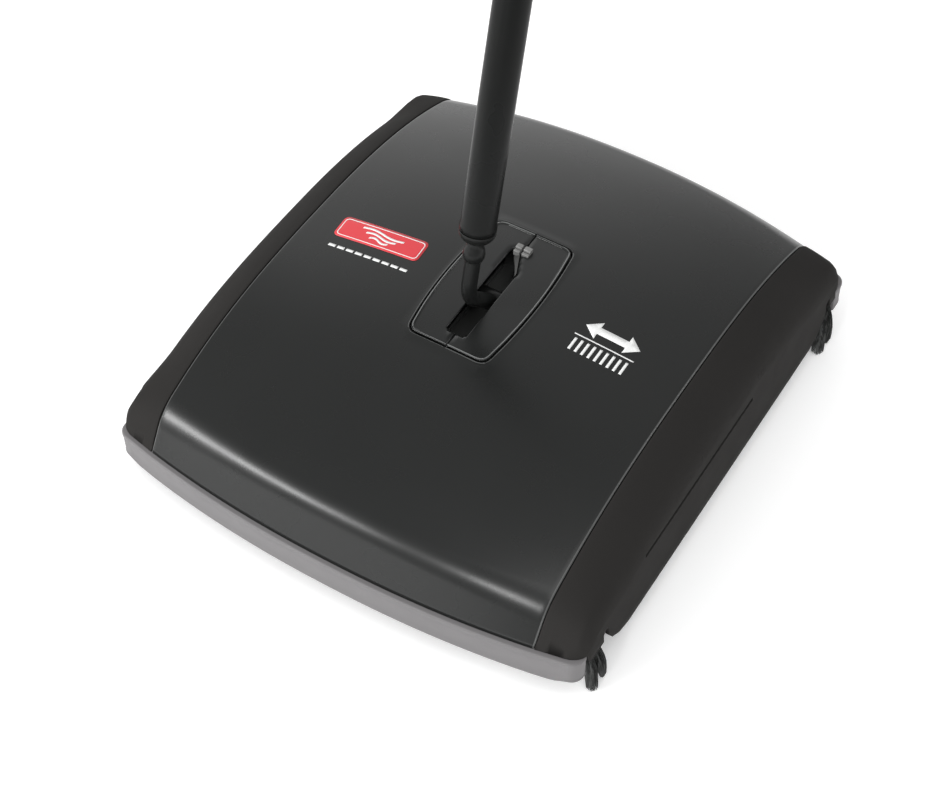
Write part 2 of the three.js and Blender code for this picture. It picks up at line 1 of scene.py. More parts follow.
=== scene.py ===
# Carpet sweeper: the look of every visible piece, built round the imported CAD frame.
# Lengths in this file are millimetres in the head's own frame (x across, y along its travel,
# z up from the floor, y = 0 half way between the bumpers) until place() turns them into metres.
import math
import random

import bmesh
import bpy
import numpy as np
from mathutils import Matrix, Vector
from mathutils.geometry import delaunay_2d_cdt


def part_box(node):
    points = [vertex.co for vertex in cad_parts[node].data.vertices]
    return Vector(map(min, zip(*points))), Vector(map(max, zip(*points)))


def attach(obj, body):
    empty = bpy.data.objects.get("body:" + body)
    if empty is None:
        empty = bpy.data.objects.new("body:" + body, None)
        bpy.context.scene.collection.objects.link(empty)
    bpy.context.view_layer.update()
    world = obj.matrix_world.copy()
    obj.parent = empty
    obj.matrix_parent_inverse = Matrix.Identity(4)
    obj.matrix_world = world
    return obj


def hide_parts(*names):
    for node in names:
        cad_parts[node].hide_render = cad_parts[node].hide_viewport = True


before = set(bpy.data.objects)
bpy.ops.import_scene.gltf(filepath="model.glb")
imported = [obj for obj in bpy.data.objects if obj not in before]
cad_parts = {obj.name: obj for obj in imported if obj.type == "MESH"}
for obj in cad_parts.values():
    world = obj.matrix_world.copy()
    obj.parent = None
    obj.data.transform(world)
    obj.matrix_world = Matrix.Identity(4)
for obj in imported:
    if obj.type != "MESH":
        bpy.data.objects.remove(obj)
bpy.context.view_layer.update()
rng = random.Random(7)

MM = 0.001
SIDES = {"left": -1, "right": 1}
ENDS = {"front": -1, "rear": 1}
HEAD_Y = (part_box("bumper_front")[0].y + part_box("bumper_rear")[1].y) / 2

# ---- dimensions of the object

PANEL_X, SEAM_X = 97.85, 98  # the panel's side edge, and the middle of the seam beyond it
BEND_Y, BEND_BOW, BEND_Z, BEND_LIFT = 119.1, 8.8, 45.5, 4.5
SIDE_CROWN, MIDDLE_CROWN, CROWN_POWER, BOW_POWER = 20.1, 5.7, 2.58, 2.17
FOOT_Y, FOOT_BOW, FOOT_Z = 129.9, 7.9, 28.7
BEND_SOFT, BEND_SOFT_SIDE = 5.5, 8.0  # tangent length of the rounded bend in the middle and at the sides
SHEET, FLANGE_WALL, PLATE_WALL, COVER_WALL = 1.4, 0.55, 2.2, 1.9

BUMPER_Y, BUMPER_BOTTOM, BUMPER_THICK, LEDGE = 132.1, 12.2, 4.9, 2.1
BUMPER_END_X, BUMPER_END_Y, BUMPER_CORNER = {-1: 118.2, 1: 119.6}, {-1: 121.2, 1: 114.5}, 6.0
CORNER_SLOPE = {-1: 0.2, 1: 0.38}  # how fast the front and rear corners fall back beyond the panel

COVER_SEAM_X = 98.15
COVER_BREAK_X, COVER_SKIRT_X, COVER_BREAK_Z, COVER_BOTTOM = 117.8, 120.3, 52.0, 12.6
COVER_CORNER, SHOULDER_DROP = 10.0, 12.8

PLATE_Y, PLATE_LENGTH, PLATE_X, PLATE_BULGE, PLATE_CORNER = -1.3, 38.7, 19.3, 3.2, 5.0
SLOT_X, SLOT_FRONT, SLOT_REAR = 5.0, -32.0, 23.0

LEAN = math.radians(14.5)
ELBOW = Vector((0, -22.2, 84))
PIVOT = Vector((0, -0.5, 62))
ROD_R, TUBE_R = 3.5, 7.8
TUBE_START = 36.3
TUBE_LENGTHS = (308, 290, 264.5)
COLLAR = 12.0
GAP = 0.3
GRIP_LENGTH = 118.0


# ---- small helpers


def place(point):
    return Vector((point[0] * MM, point[1] * MM + HEAD_Y, point[2] * MM))


def on_handle(point):
    """A point given as (x, y, height above the elbow) on the upright handle, leaned into place."""
    x, y, h = point
    c, s = math.cos(LEAN), math.sin(LEAN)
    return (ELBOW.x + x, ELBOW.y + y * c + h * s, ELBOW.z - y * s + h * c)


def steps(a, b, count):
    return [a + (b - a) * i / count for i in range(count + 1)]


def solid(name, verts, faces, material, body, nodes=(), sharp=45, merge=1e-6):
    """A finished piece: its welded mesh and material, the body it rides on and the CAD nodes it replaces."""
    mesh = bpy.data.meshes.new(name)
    mesh.from_pydata([place(v) for v in verts], [], [tuple(f) for f in faces])
    bm = bmesh.new()
    bm.from_mesh(mesh)
    bmesh.ops.remove_doubles(bm, verts=bm.verts, dist=merge)
    bmesh.ops.dissolve_degenerate(bm, edges=bm.edges, dist=1e-7)
    bmesh.ops.recalc_face_normals(bm, faces=bm.faces)
    bm.to_mesh(mesh)
    bm.free()
    mesh.materials.append(material)
    mesh.polygons.foreach_set("use_smooth", [True] * len(mesh.polygons))
    mesh.set_sharp_from_angle(angle=math.radians(sharp))
    obj = bpy.data.objects.new(name, mesh)
    bpy.context.collection.objects.link(obj)
    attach(obj, body)
    if nodes:
        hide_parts(*nodes)
    return obj


def thicken(obj, thickness, offset=-1):
    """Gives an open skin its sheet thickness, inwards."""
    modifier = obj.modifiers.new("thickness", "SOLIDIFY")
    modifier.thickness = thickness * MM
    modifier.offset = offset
    mesh = bpy.data.meshes.new_from_object(obj.evaluated_get(bpy.context.evaluated_depsgraph_get()))
    obj.modifiers.clear()
    obj.data = mesh


def skin(name, verts, faces, thickness, material, nodes=(), sharp=60, merge=1e-6):
    """An open sheet on the base, with its front up and its thickness below."""
    sheet = solid(name, verts, faces, material, "base", nodes, sharp, merge)
    if sum(f.normal.z for f in sheet.data.polygons) < 0:
        sheet.data.flip_normals()
    thicken(sheet, thickness)


def band(rows, across, closed=True, start=0):
    """Quads between successive rings, or open rows, of vertices."""
    return [(a + k, a + (k + 1) % across, a + across + (k + 1) % across, a + across + k)
            for a in range(start, start + (rows - 1) * across, across)
            for k in range(across if closed else across - 1)]


def capped(rows, across, start=0):
    """A closed band with a face over each end."""
    end = start + (rows - 1) * across
    return band(rows, across, True, start) + [tuple(range(a, a + across)) for a in (start, end)]


def lathe_parts(profile, segments):
    """Rings of a profile of (radius, height); a radius of 0 closes an end."""
    turns = [2 * math.pi * k / segments for k in range(segments)]
    verts = [(r * math.cos(a), r * math.sin(a), h) for r, h in profile for a in turns]
    return verts, band(len(profile), segments)


def handle_lathe(name, profile, material, nodes=(), segments=72):
    """A profile of (radius, height above the elbow) turned about the handle's own line."""
    verts, faces = lathe_parts(profile, segments)
    solid(name, [on_handle(v) for v in verts], faces, material, "handle", nodes)


def axle_lathe(name, profile, y, z, material, body, nodes=(), segments=72, side=1):
    """A profile of (radius, x) turned about the line through (y, z) along x; side -1 mirrors it."""
    verts, faces = lathe_parts(profile, segments)
    solid(name, [(side * h, y + a, z + b) for a, b, h in verts], faces, material, body, nodes)


def strand(verts, faces, points, radius, tip=0.75, sides=3, across=None):
    """A rod through the points, three-sided for a bristle; tip is its end size as a share of radius."""
    start = len(verts)
    last = len(points) - 1
    for i, p in enumerate(points):
        p = Vector(p)
        along = (Vector(points[min(i + 1, last)]) - Vector(points[max(i - 1, 0)])).normalized()
        u = across or along.orthogonal().normalized()
        v = along.cross(u)
        r = radius * (1 - (1 - tip) * i / last)
        for k in range(sides):
            a = 2 * math.pi * k / sides
            verts.append(tuple(p + r * (math.cos(a) * u + math.sin(a) * v)))
    faces += capped(len(points), sides, start)


def inside(points, loop):
    """Which points lie inside a closed loop, as a boolean array."""
    pts, poly = np.asarray(points, float), np.asarray(loop, float)
    hit = np.zeros(len(pts), bool)
    for (x0, y0), (x1, y1) in zip(poly, np.roll(poly, -1, axis=0)):
        if y0 == y1:
            continue
        crosses = (pts[:, 1] < y0) != (pts[:, 1] < y1)
        at = x0 + (pts[:, 1] - y0) * (x1 - x0) / (y1 - y0)
        hit ^= crosses & (pts[:, 0] < at)
    return hit


def distance_to(points, line, closed=True):
    """Distance to the nearest segment of a polyline, and that segment's index."""
    pts, poly = np.asarray(points, float), np.asarray(line, float)
    ends = np.roll(poly, -1, axis=0) if closed else poly[1:]
    starts = poly if closed else poly[:-1]
    best = np.full(len(pts), 1e9)
    which = np.zeros(len(pts), int)
    for i, (a, b) in enumerate(zip(starts, ends)):
        ab = b - a
        t = np.clip(((pts - a) @ ab) / max(ab @ ab, 1e-12), 0, 1)
        d = np.linalg.norm(pts - a - t[:, None] * ab, axis=1)
        nearer = d < best
        best[nearer], which[nearer] = d[nearer], i
    return best, which


def within(points, loop, gap):
    """The points inside a loop that keep a gap from it."""
    distance, _ = distance_to(points, loop)
    return [p for p, keep in zip(points, inside(points, loop) & (distance > gap)) if keep]


def triangulate(boundary, holes, lines, points):
    """Triangles of the region inside boundary and outside holes, through the given lines and points."""
    coords, edges = [], []
    for loop, closed in [(boundary, True)] + [(h, True) for h in holes] + lines:
        start = len(coords)
        coords += [Vector(p) for p in loop]
        edges += [(start + i, start + i + 1) for i in range(len(loop) - 1)]
        if closed:
            edges.append((start + len(loop) - 1, start))
    coords += [Vector(p) for p in points]
    verts, _, faces = delaunay_2d_cdt(coords, edges, [], 0, 1e-4)[:3]
    verts = [(v.x, v.y) for v in verts]
    middles = [np.mean([verts[i] for i in f], axis=0) for f in faces]
    keep = inside(middles, boundary)
    for hole in holes:
        keep &= ~inside(middles, hole)
    faces = [f for f, k in zip(faces, keep) if k]
    used = sorted({i for f in faces for i in f})
    renumber = {old: new for new, old in enumerate(used)}
    return [verts[i] for i in used], [tuple(renumber[i] for i in f) for f in faces]


def rounded(loop, radius, arc_steps=5):
    """A closed loop of corners with each sharp corner rounded."""
    out = []
    count = len(loop)
    for i in range(count):
        p = Vector(loop[i])
        a, b = Vector(loop[i - 1]) - p, Vector(loop[(i + 1) % count]) - p
        turn = a.angle(b)
        if turn > math.radians(150):
            out.append(tuple(p))
            continue
        reach = min(radius / math.tan(turn / 2), 0.49 * min(a.length, b.length))
        start, end = p + a.normalized() * reach, p + b.normalized() * reach
        for s in steps(0, 1, arc_steps):
            out.append(tuple((1 - s) ** 2 * start + 2 * s * (1 - s) * p + s * s * end))
    return out


def resample(loop, spacing, closed=True):
    """A loop, or an open line, with points no further apart than spacing."""
    out = []
    for i in range(len(loop) if closed else len(loop) - 1):
        p, q = Vector(loop[i]), Vector(loop[(i + 1) % len(loop)])
        count = max(1, math.ceil((q - p).length / spacing))
        out += [tuple(p.lerp(q, k / count)) for k in range(count)]
    return out if closed else out + [tuple(loop[-1])]


# ---- shader helpers


def add_node(tree, kind, inputs, **settings):
    """A new node with its settings, and with its inputs linked or set."""
    node = tree.nodes.new("ShaderNode" + kind)
    for key, value in settings.items():
        setattr(node, key, value)
    for key, value in inputs.items():
        if isinstance(value, bpy.types.NodeSocket):
            tree.links.new(value, node.inputs[key])
        else:
            node.inputs[key].default_value = value
    return node


def map_range(tree, value, low, high, out_low, out_high, **settings):
    inputs = {"Value": value, "From Min": low, "From Max": high, "To Min": out_low, "To Max": out_high}
    return add_node(tree, "MapRange", inputs, **settings).outputs["Result"]


def rgba(color):
    return color if isinstance(color, bpy.types.NodeSocket) else (*color, 1)


class Shader:
    """A node material with a Principled shader and a few ways of adding to it."""

    def __init__(self, name, color, roughness, **sockets):
        self.material = bpy.data.materials.new(name)
        self.material.use_nodes = True
        self.tree = self.material.node_tree
        self.principled = self.tree.nodes["Principled BSDF"]
        self.set("Base Color", (*color, 1))
        self.set("Roughness", roughness)
        for key, value in sockets.items():
            self.set(key.replace("_", " "), value)
        self.coords = self.tree.nodes.new("ShaderNodeTexCoord").outputs["Object"]
        self.height = None

    def set(self, socket, value):
        self.principled.inputs[socket].default_value = value

    def feed(self, socket, source):
        self.tree.links.new(source, self.principled.inputs[socket])

    def noise(self, scale, detail=3.0, stretch=(1, 1, 1), roughness=0.5):
        mapped = add_node(self.tree, "Mapping", {"Vector": self.coords, "Scale": stretch}).outputs["Vector"]
        inputs = {"Vector": mapped, "Scale": scale, "Detail": detail, "Roughness": roughness}
        return add_node(self.tree, "TexNoise", inputs).outputs["Fac"]

    def ramp(self, value, *limits):
        return map_range(self.tree, value, *limits)

    def mix(self, factor, color_a, color_b):
        inputs = {0: factor, 6: rgba(color_a), 7: rgba(color_b)}
        return add_node(self.tree, "Mix", inputs, data_type="RGBA").outputs[2]

    def pale_edge_highlight(self, coat, distance):
        """The coat, painted paler further than a distance (mm) from the middle: a painted highlight along its
        edges.
        """
        split = add_node(self.tree, "SeparateXYZ", {0: self.coords})
        from_middle = add_node(self.tree, "Math", {0: split.outputs[0]}, operation="ABSOLUTE").outputs[0]
        pale_share = self.ramp(from_middle, distance * MM, (distance + 0.3) * MM, 0, 1)
        # this pale grey is a painted highlight along the rolled edge
        return self.mix(pale_share, coat, (0.11, 0.112, 0.11))

    def bump(self, source, strength, distance):
        inputs = {"Strength": strength, "Distance": distance, "Height": source}
        if self.height:
            inputs["Normal"] = self.height
        self.height = add_node(self.tree, "Bump", inputs).outputs["Normal"]
        self.feed("Normal", self.height)


def moulded(name, color, roughness, grain=900, grain_depth=0.00006, shade=0.12, **sockets):
    """Moulded plastic or rubber: a fine grain, a slow change of gloss and a little colour drift."""
    s = Shader(name, color, roughness, **sockets)
    drift = s.noise(18, 2)
    darker = tuple(c * (1 - shade) for c in color)
    lighter = tuple(min(1, c * (1 + shade)) for c in color)
    s.feed("Base Color", s.mix(drift, darker, lighter))
    s.feed("Roughness", s.ramp(s.noise(60, 4), 0.3, 0.7, roughness - 0.05, roughness + 0.05))
    s.bump(s.noise(grain, 4, roughness=0.6), 0.35, grain_depth)
    return s.material


def metal(name, color, roughness, stretch=(1, 1, 1), metallic=1.0, **sockets):
    s = Shader(name, color, roughness, Metallic=metallic, **sockets)
    cloud = s.noise(45, 5, roughness=0.65)
    s.feed("Base Color", s.mix(cloud, tuple(c * 0.78 for c in color), tuple(min(1, c * 1.12) for c in color)))
    s.feed("Roughness", s.ramp(s.noise(260, 4, stretch), 0.3, 0.7, roughness - 0.09, roughness + 0.12))
    s.bump(s.noise(420, 3, stretch), 0.25, 0.00005)
    return s.material


def coated_steel(name, color, roughness, specular, highlight_from=0):
    """Satin powder coat with a very fine orange peel; beyond the given distance (mm) to each side it is painted
    pale, a painted highlight along its edges.
    """
    s = Shader(name, color, roughness, Specular_IOR_Level=specular)
    drift = s.noise(9, 2)
    coat = s.mix(drift, tuple(c * 0.93 for c in color), tuple(c * 1.08 for c in color))
    s.feed("Base Color", s.pale_edge_highlight(coat, highlight_from) if highlight_from else coat)
    s.feed("Roughness", s.ramp(s.noise(34, 3), 0.3, 0.7, roughness - 0.02, roughness + 0.02))
    s.bump(s.noise(620, 2), 0.12, 0.00006)
    s.bump(s.noise(2400, 2), 0.12, 0.00002)
    return s.material


def bristle(name, dark, light):
    """Plastic bristles, some darker and some paler along their whole length."""
    s = Shader(name, dark, 0.45, Specular_IOR_Level=0.4)
    s.feed("Base Color", s.mix(s.ramp(s.noise(900, 2, (1, 1, 0.04)), 0.42, 0.62, 0, 1), dark, light))
    s.bump(s.noise(900, 3, (1, 1, 0.1)), 0.5, 0.0002)
    return s.material


# The hood's outermost edge, past 97 mm from the middle, is painted pale: a painted highlight along its rolled
# seam edge.
hood_coat = coated_steel("hood_coat", (0.0086, 0.0094, 0.0090), 0.28, 0.5, highlight_from=97.0)
cover_plastic = moulded("cover_plastic", (0.0292, 0.0279, 0.0269), 0.75, grain=1500, grain_depth=0.00005,
                        shade=0.06, Specular_IOR_Level=0.04)
plate_plastic = moulded("plate_plastic", (0.0100, 0.0108, 0.0104), 0.30, grain=1300, grain_depth=0.00002,
                        shade=0.05, Specular_IOR_Level=0.5)
well_plastic = moulded("well_plastic", (0.060, 0.062, 0.060), 0.6, grain=1300, shade=0.1)
bumper_vinyl = moulded("bumper_vinyl", (0.178, 0.172, 0.175), 0.55, grain=1100, grain_depth=0.00004,
                       shade=0.03, Specular_IOR_Level=0.3)
handle_coat = coated_steel("handle_coat", (0.0085, 0.0090, 0.0087), 0.28, 0.14)
rod_steel = coated_steel("rod_steel", (0.0100, 0.0106, 0.0103), 0.30, 0.2)
ferrule_plastic = moulded("ferrule_plastic", (0.0105, 0.0110, 0.0106), 0.36, grain=1200, grain_depth=0.00003,
                          Specular_IOR_Level=0.25)
grip_vinyl = moulded("grip_vinyl", (0.014, 0.014, 0.014), 0.7, grain=800, grain_depth=0.00010)
zinc = metal("zinc_plate", (0.60, 0.61, 0.62), 0.38)
grey_plastic = moulded("grey_plastic", (0.22, 0.225, 0.23), 0.5, grain=900)
tyre_rubber = moulded("tyre_rubber", (0.022, 0.021, 0.020), 0.82, grain=520, grain_depth=0.00018, shade=0.2)
drum_rubber = moulded("drum_rubber", (0.018, 0.017, 0.017), 0.85, grain=700, grain_depth=0.00012, shade=0.2)
fibre = bristle("fibre", (0.010, 0.011, 0.010), (0.085, 0.088, 0.086))
brush_fibre = moulded("brush_fibre", (0.028, 0.026, 0.024), 0.6, grain=300, shade=0.35)
pan_plastic = moulded("pan_plastic", (0.020, 0.020, 0.020), 0.5, grain=1100)
label_red = moulded("label_red", (0.78, 0.052, 0.066), 0.42, grain=2600, grain_depth=0.00001, shade=0.03)
print_white = moulded("print_white", (0.95, 0.96, 0.95), 0.5, grain=2600, grain_depth=0.00001, shade=0.02)
ramp_plastic = moulded("ramp_plastic", (0.06, 0.06, 0.058), 0.4, grain=1500, grain_depth=0.00003)
# A pale grey for the slot plate's lip: a painted highlight along the rim of the black plate.
rim_highlight_plastic = moulded("rim_highlight_plastic", (0.165, 0.17, 0.168), 0.3, grain=1500, grain_depth=0.00001)
# A pale coat for the lip round the hood's opening: a painted highlight along that lip.
lip_highlight_coat = coated_steel("lip_highlight_coat", (0.080, 0.082, 0.081), 0.3, 0.5)
clip_plastic = moulded("clip_plastic", (0.23, 0.23, 0.225), 0.35, grain=1500, grain_depth=0.00003)

# ---- hood surfaces


def bow(x):
    return 1 - min(1, abs(x) / SEAM_X) ** BOW_POWER


def bend_at(x):
    return BEND_Y + BEND_BOW * bow(x)


def bend_z(x):
    return BEND_Z + BEND_LIFT * bow(x)


def crown_at(x):
    return SIDE_CROWN - BEND_LIFT * bow(x) + MIDDLE_CROWN * (1 - (x / SEAM_X) ** 2)


def bend_soft(x):
    return BEND_SOFT_SIDE + (BEND_SOFT - BEND_SOFT_SIDE) * bow(x)


def hood_z(x, y):
    t = min(1, abs(y) / bend_at(x))
    return bend_z(x) + crown_at(x) * (1 - t**CROWN_POWER)


def hood_top(x, y, above=0.0):
    """The point straight above (x, y), raised from the hood's surface along its normal."""
    d = 0.5
    nx = -(hood_z(x + d, y) - hood_z(x - d, y)) / (2 * d)
    ny = -(hood_z(x, y + d) - hood_z(x, y - d)) / (2 * d)
    n = Vector((nx, ny, 1)).normalized() * above
    return (x + n.x, y + n.y, hood_z(x, y) + n.z)


SHEET_SCALE = 120.0  # distance from mid depth to the bend on the panel laid out flat
FACE = 0.16  # length of the front face as a share of the way from mid depth to the bend


def hood_profile(x, t):
    """(y, z) at a share t of the way to the bend; the front face follows from t = 1 to 1 + FACE."""

    def sharp(q):
        if q <= 1:
            y = q * bend_at(x)
            return Vector((y, hood_z(x, y)))
        s = (q - 1) / FACE
        foot = FOOT_Y + FOOT_BOW * bow(x)
        return Vector((bend_at(x) + s * (foot - bend_at(x)), bend_z(x) + s * (FOOT_Z - bend_z(x))))

    soft = bend_soft(x) / SHEET_SCALE
    if abs(t - 1) >= soft:
        return sharp(t)
    u = (t - 1 + soft) / (2 * soft)
    return (1 - u) ** 2 * sharp(1 - soft) + 2 * u * (1 - u) * sharp(1) + u * u * sharp(1 + soft)


def profile_slope(x, t):
    """The direction in which the profile runs at a share t, as a unit (y, z)."""
    step = 0.004
    return (hood_profile(x, t + step) - hood_profile(x, max(0, t - step))).normalized()


def edge_drop(distance, radius):
    """How far a surface falls below itself at a distance from a rounded edge."""
    if distance >= radius:
        return 0.0
    return radius - math.sqrt(max(0.0, radius**2 - (radius - max(0.0, distance)) ** 2))


def plate_outline(out=0.0, spacing=1.5, out_y=None):
    """The slot plate's barrel outline in plan, moved outwards, with rounded corners."""
    out_y = out if out_y is None else out_y
    room = 2.1 * PLATE_CORNER / PLATE_LENGTH
    right = [(PLATE_X + out + PLATE_BULGE * (1 - t * t), PLATE_Y + t * (PLATE_LENGTH + out_y))
             for t in steps(-1, 1, 24) if abs(t) > 0.999 or abs(t) < 1 - room]
    loop = right + [(-x, y) for x, y in reversed(right)]
    return resample(rounded(loop, PLATE_CORNER + max(0, out), 10), spacing)


PAD_OUT, PAD_OUT_Y, PAD_HEIGHT, PAD_SLOPE = 1.5, 2.6, 0.09, 0.45  # the low pad round the slot plate
EDGE_STEPS = (0.0, 0.1, 0.26, 0.5, 0.8)
OPENING = 0.55  # gap between the slot plate and the hood's opening


def build_hood():
    """The crowned panel with its front and rear faces, its rolled edges and the opening."""

    def to_sheet(x, y):
        return (x, y / bend_at(x) * SHEET_SCALE)

    opening_plan = plate_outline(OPENING, 1.2)
    opening = [to_sheet(*p) for p in opening_plan]
    end = SHEET_SCALE * (1 + FACE)
    rows = steps(0, 108, 32) + steps(109.5, 128, 28) + steps(130, end, 5)
    rows = sorted({round(r, 4) for r in rows})
    rows = [-r for r in reversed(rows[1:])] + rows
    columns = steps(-PANEL_X + 2.5, PANEL_X - 2.5, 60)
    edges_x = [PANEL_X - d for d in EDGE_STEPS]
    boundary = [(-PANEL_X, r) for r in rows] + [(x, end) for x in columns]
    boundary += [(PANEL_X, r) for r in reversed(rows)] + [(x, -end) for x in reversed(columns)]
    lines = [([(side * x, r) for r in rows], False) for x in edges_x[1:] for side in (-1, 1)]
    lines += [([to_sheet(*p) for p in plate_outline(OPENING + d, 1.2)], True) for d in EDGE_STEPS[1:]]
    pad = plate_outline(PAD_OUT, 1.2, PAD_OUT_Y)
    pad_foot = plate_outline(PAD_OUT + PAD_SLOPE, 1.2, PAD_OUT_Y + PAD_SLOPE)
    lines += [([to_sheet(*p) for p in loop], True) for loop in (pad, pad_foot)]
    grid = [(x, r) for x in columns for r in rows[1:-1]]
    blocked = inside(grid, [to_sheet(*p) for p in plate_outline(PAD_OUT + 1, 1.2, PAD_OUT_Y + 1)])
    grid = [p for p, b in zip(grid, blocked) if not b]
    flat, faces = triangulate(boundary, [opening], lines, grid)
    hole_distance, _ = distance_to(flat, opening)
    plan = [(x, v / SHEET_SCALE * bend_at(x)) for x, v in flat]
    on_pad = inside(plan, plate_outline(PAD_OUT + 0.05, 1.2, PAD_OUT_Y + 0.05))
    verts = []
    for (x, v), near_hole, raised in zip(flat, hole_distance, on_pad):
        t = abs(v) / SHEET_SCALE
        y, z = hood_profile(x, t)
        slope = profile_slope(x, t)
        drop = max(edge_drop(PANEL_X - abs(x), 0.8), edge_drop(near_hole, 0.5))
        drop -= PAD_HEIGHT if raised else 0.0
        y, z = y + slope.y * drop, z - slope.x * drop
        verts.append((x, math.copysign(y, v), z))
    skin("hood_panel", verts, faces, SHEET, hood_coat, ["top_panel"])


build_hood()


def build_seam_flange(side_name):
    """A strip under the seam between the panel and a side cover, which closes the gap from below."""
    side, depth = SIDES[side_name], 1.95
    verts = []
    rows = steps(-1 - 0.96 * FACE, 1 + 0.96 * FACE, 120)
    for t in rows:
        here = hood_profile(SEAM_X, abs(t))
        slope = profile_slope(SEAM_X, abs(t))
        y, z = here.x + slope.y * depth, here.y - slope.x * depth
        verts += [(side * x, math.copysign(y, t), z) for x in (94.6, 101.6)]
    faces = band(len(rows), 2, closed=False)
    skin(f"seam_flange_{side_name}", verts, faces, FLANGE_WALL, plate_plastic)


for side_name in SIDES:
    build_seam_flange(side_name)

# ---- slot plate


SPLIT = 0.12  # half the gap between the plate's two halves


def slot_edge(side_name):
    """The slot's edge in one half of the plate, rear end first, with x counted from the middle."""
    if side_name == "right":
        rear = [(SPLIT, SLOT_REAR + 0.3), (SLOT_X + 0.2, 11.6), (SLOT_X + 0.2, 10.0)]
    else:
        rear = [(SPLIT, SLOT_REAR + 2.6), (2.4, SLOT_REAR + 2.6), (4.2, SLOT_REAR + 1.8), (SLOT_X, SLOT_REAR)]
    return rear + [(SLOT_X, SLOT_FRONT + 1.2), (SLOT_X - 1.0, SLOT_FRONT + 0.3), (SPLIT, SLOT_FRONT)]


def right_half(loop, limit):
    """The points of a loop round the plate that lie beyond limit, from its front to its rear."""
    return sorted((p for p in loop if p[0] > limit), key=lambda p: math.atan2(p[1] - PLATE_Y, p[0]))


def build_slot_plate(side_name):
    side = SIDES[side_name]
    outline = plate_outline(0, 1.0)
    front_y, rear_y = PLATE_Y - PLATE_LENGTH, PLATE_Y + PLATE_LENGTH
    slot_line = resample(slot_edge(side_name), 0.9, closed=False)
    outer = [(SPLIT, front_y)] + right_half(outline, 0.4) + [(SPLIT, rear_y)]
    boundary = resample(outer, 1.1, closed=False) + slot_line
    rim_steps = (0.1, 0.25, 0.42, 0.6, 0.8, 1.0, 1.2, 1.5)
    lines = [(right_half(plate_outline(-d, 1.0), 0.9), False) for d in rim_steps]
    lines += [([(SLOT_X + d, y) for y in steps(SLOT_FRONT, 9, 36)], False) for d in (0.35, 0.6, 0.9)]
    grid = [(x, y) for x in steps(0.8, 22, 12) for y in steps(front_y + 3, rear_y - 3, 40)]
    near, _ = distance_to(grid, outline)
    grid = [p for p, keep in zip(grid, inside(grid, boundary) & (near > 2.0)) if keep]
    flat, faces = triangulate(boundary, [], lines, grid)
    rim, _ = distance_to(flat, outline)
    slot_distance, _ = distance_to(flat, slot_line, closed=False)
    verts = []
    for (x, y), d, e in zip(flat, rim, slot_distance):
        bead = 0.5 * math.sqrt(max(0.0, 1 - ((d - 0.6) / 0.6) ** 2))
        above = 0.16 + bead - edge_drop(e, 0.6) - edge_drop(x - SPLIT, 0.25)
        verts.append(hood_top(side * x, y, above))
    skin(f"slot_plate_{side_name}_skin", verts, faces, PLATE_WALL, plate_plastic,
         [f"slot_plate_{side_name}"])


def build_rim_line(side_name):
    """The fine rounded lips that edge the plate and the hood's opening, both coloured pale as a painted
    highlight.
    """
    side = SIDES[side_name]
    lips = (("slot_plate_lip", -0.55, 0.60, 0.30, rim_highlight_plastic, "black_plastic"),
            ("hood_opening_lip", OPENING + 0.55, PAD_HEIGHT - 0.02, 0.26, lip_highlight_coat, "painted_steel"))
    for name, out, above, radius, material, slot in lips:
        half = right_half(plate_outline(out, 1.0), 0.05)
        verts, faces = [], []
        strand(verts, faces, [hood_top(side * x, y, above) for x, y in half], radius, tip=1.0)
        solid(f"{name}_{side_name}", verts, faces, material, "base", sharp=80)


def build_clip(side_name):
    """One finger of the clip at the slot's rear end, with its stepped top."""
    side = SIDES[side_name]
    base, top = hood_z(0, SLOT_REAR) - 1.5, hood_z(0, SLOT_REAR)
    outline = [(-0.6, base), (4.2, base), (4.2, top + 1.9), (3.9, top + 2.2), (1.7, top + 2.2),
               (1.4, top + 1.8), (1.35, top + 0.5), (0.95, top + 0.5), (0.8, top + 1.3), (-0.4, top + 1.3),
               (-0.6, top + 1.0)]
    profile = [(SLOT_REAR + y, z) for y, z in outline]
    near, far = (0.3, 3.3) if side_name == "left" else (0.9, 4.3)
    widths = [(near, 0.0), (near + 0.2, 0.22), (far - 0.2, 0.22), (far, 0.0)]
    mid_y, mid_z = SLOT_REAR + 1.8, top + 0.5
    verts = []
    for x, grow in widths:
        shrink = 1 - (0.25 - grow) / 6
        verts += [(side * x, mid_y + (y - mid_y) * shrink, mid_z + (z - mid_z) * shrink) for y, z in profile]
    solid(f"clip_finger_{side_name}", verts, capped(len(widths), len(profile)), clip_plastic, "base",
          sharp=30)


def build_throat_ramp():
    """The sloping tongue that leads from the slot's right edge up to the clip."""
    plan = [(-2.9, 22.6), (0.0, 22.6), (2.4, 17.0), (4.7, 11.6), (4.4, 10.4), (3.1, 13.0), (1.3, 16.2),
            (-0.6, 19.0), (-2.2, 21.0)]
    below = [0.2 + 0.55 * min(3.0, max(0.0, (22.6 - y) * 0.43 - x)) for x, y in plan]
    verts = [(x, y, hood_z(x, y) - depth) for (x, y), depth in zip(plan, below)]
    verts += [(x, y, hood_z(x, y) - 6) for x, y in plan]
    solid("throat_ramp", verts, capped(2, len(plan)), ramp_plastic, "base", sharp=30)


WELL_FLOOR, WELL_X = 54.5, 10.6


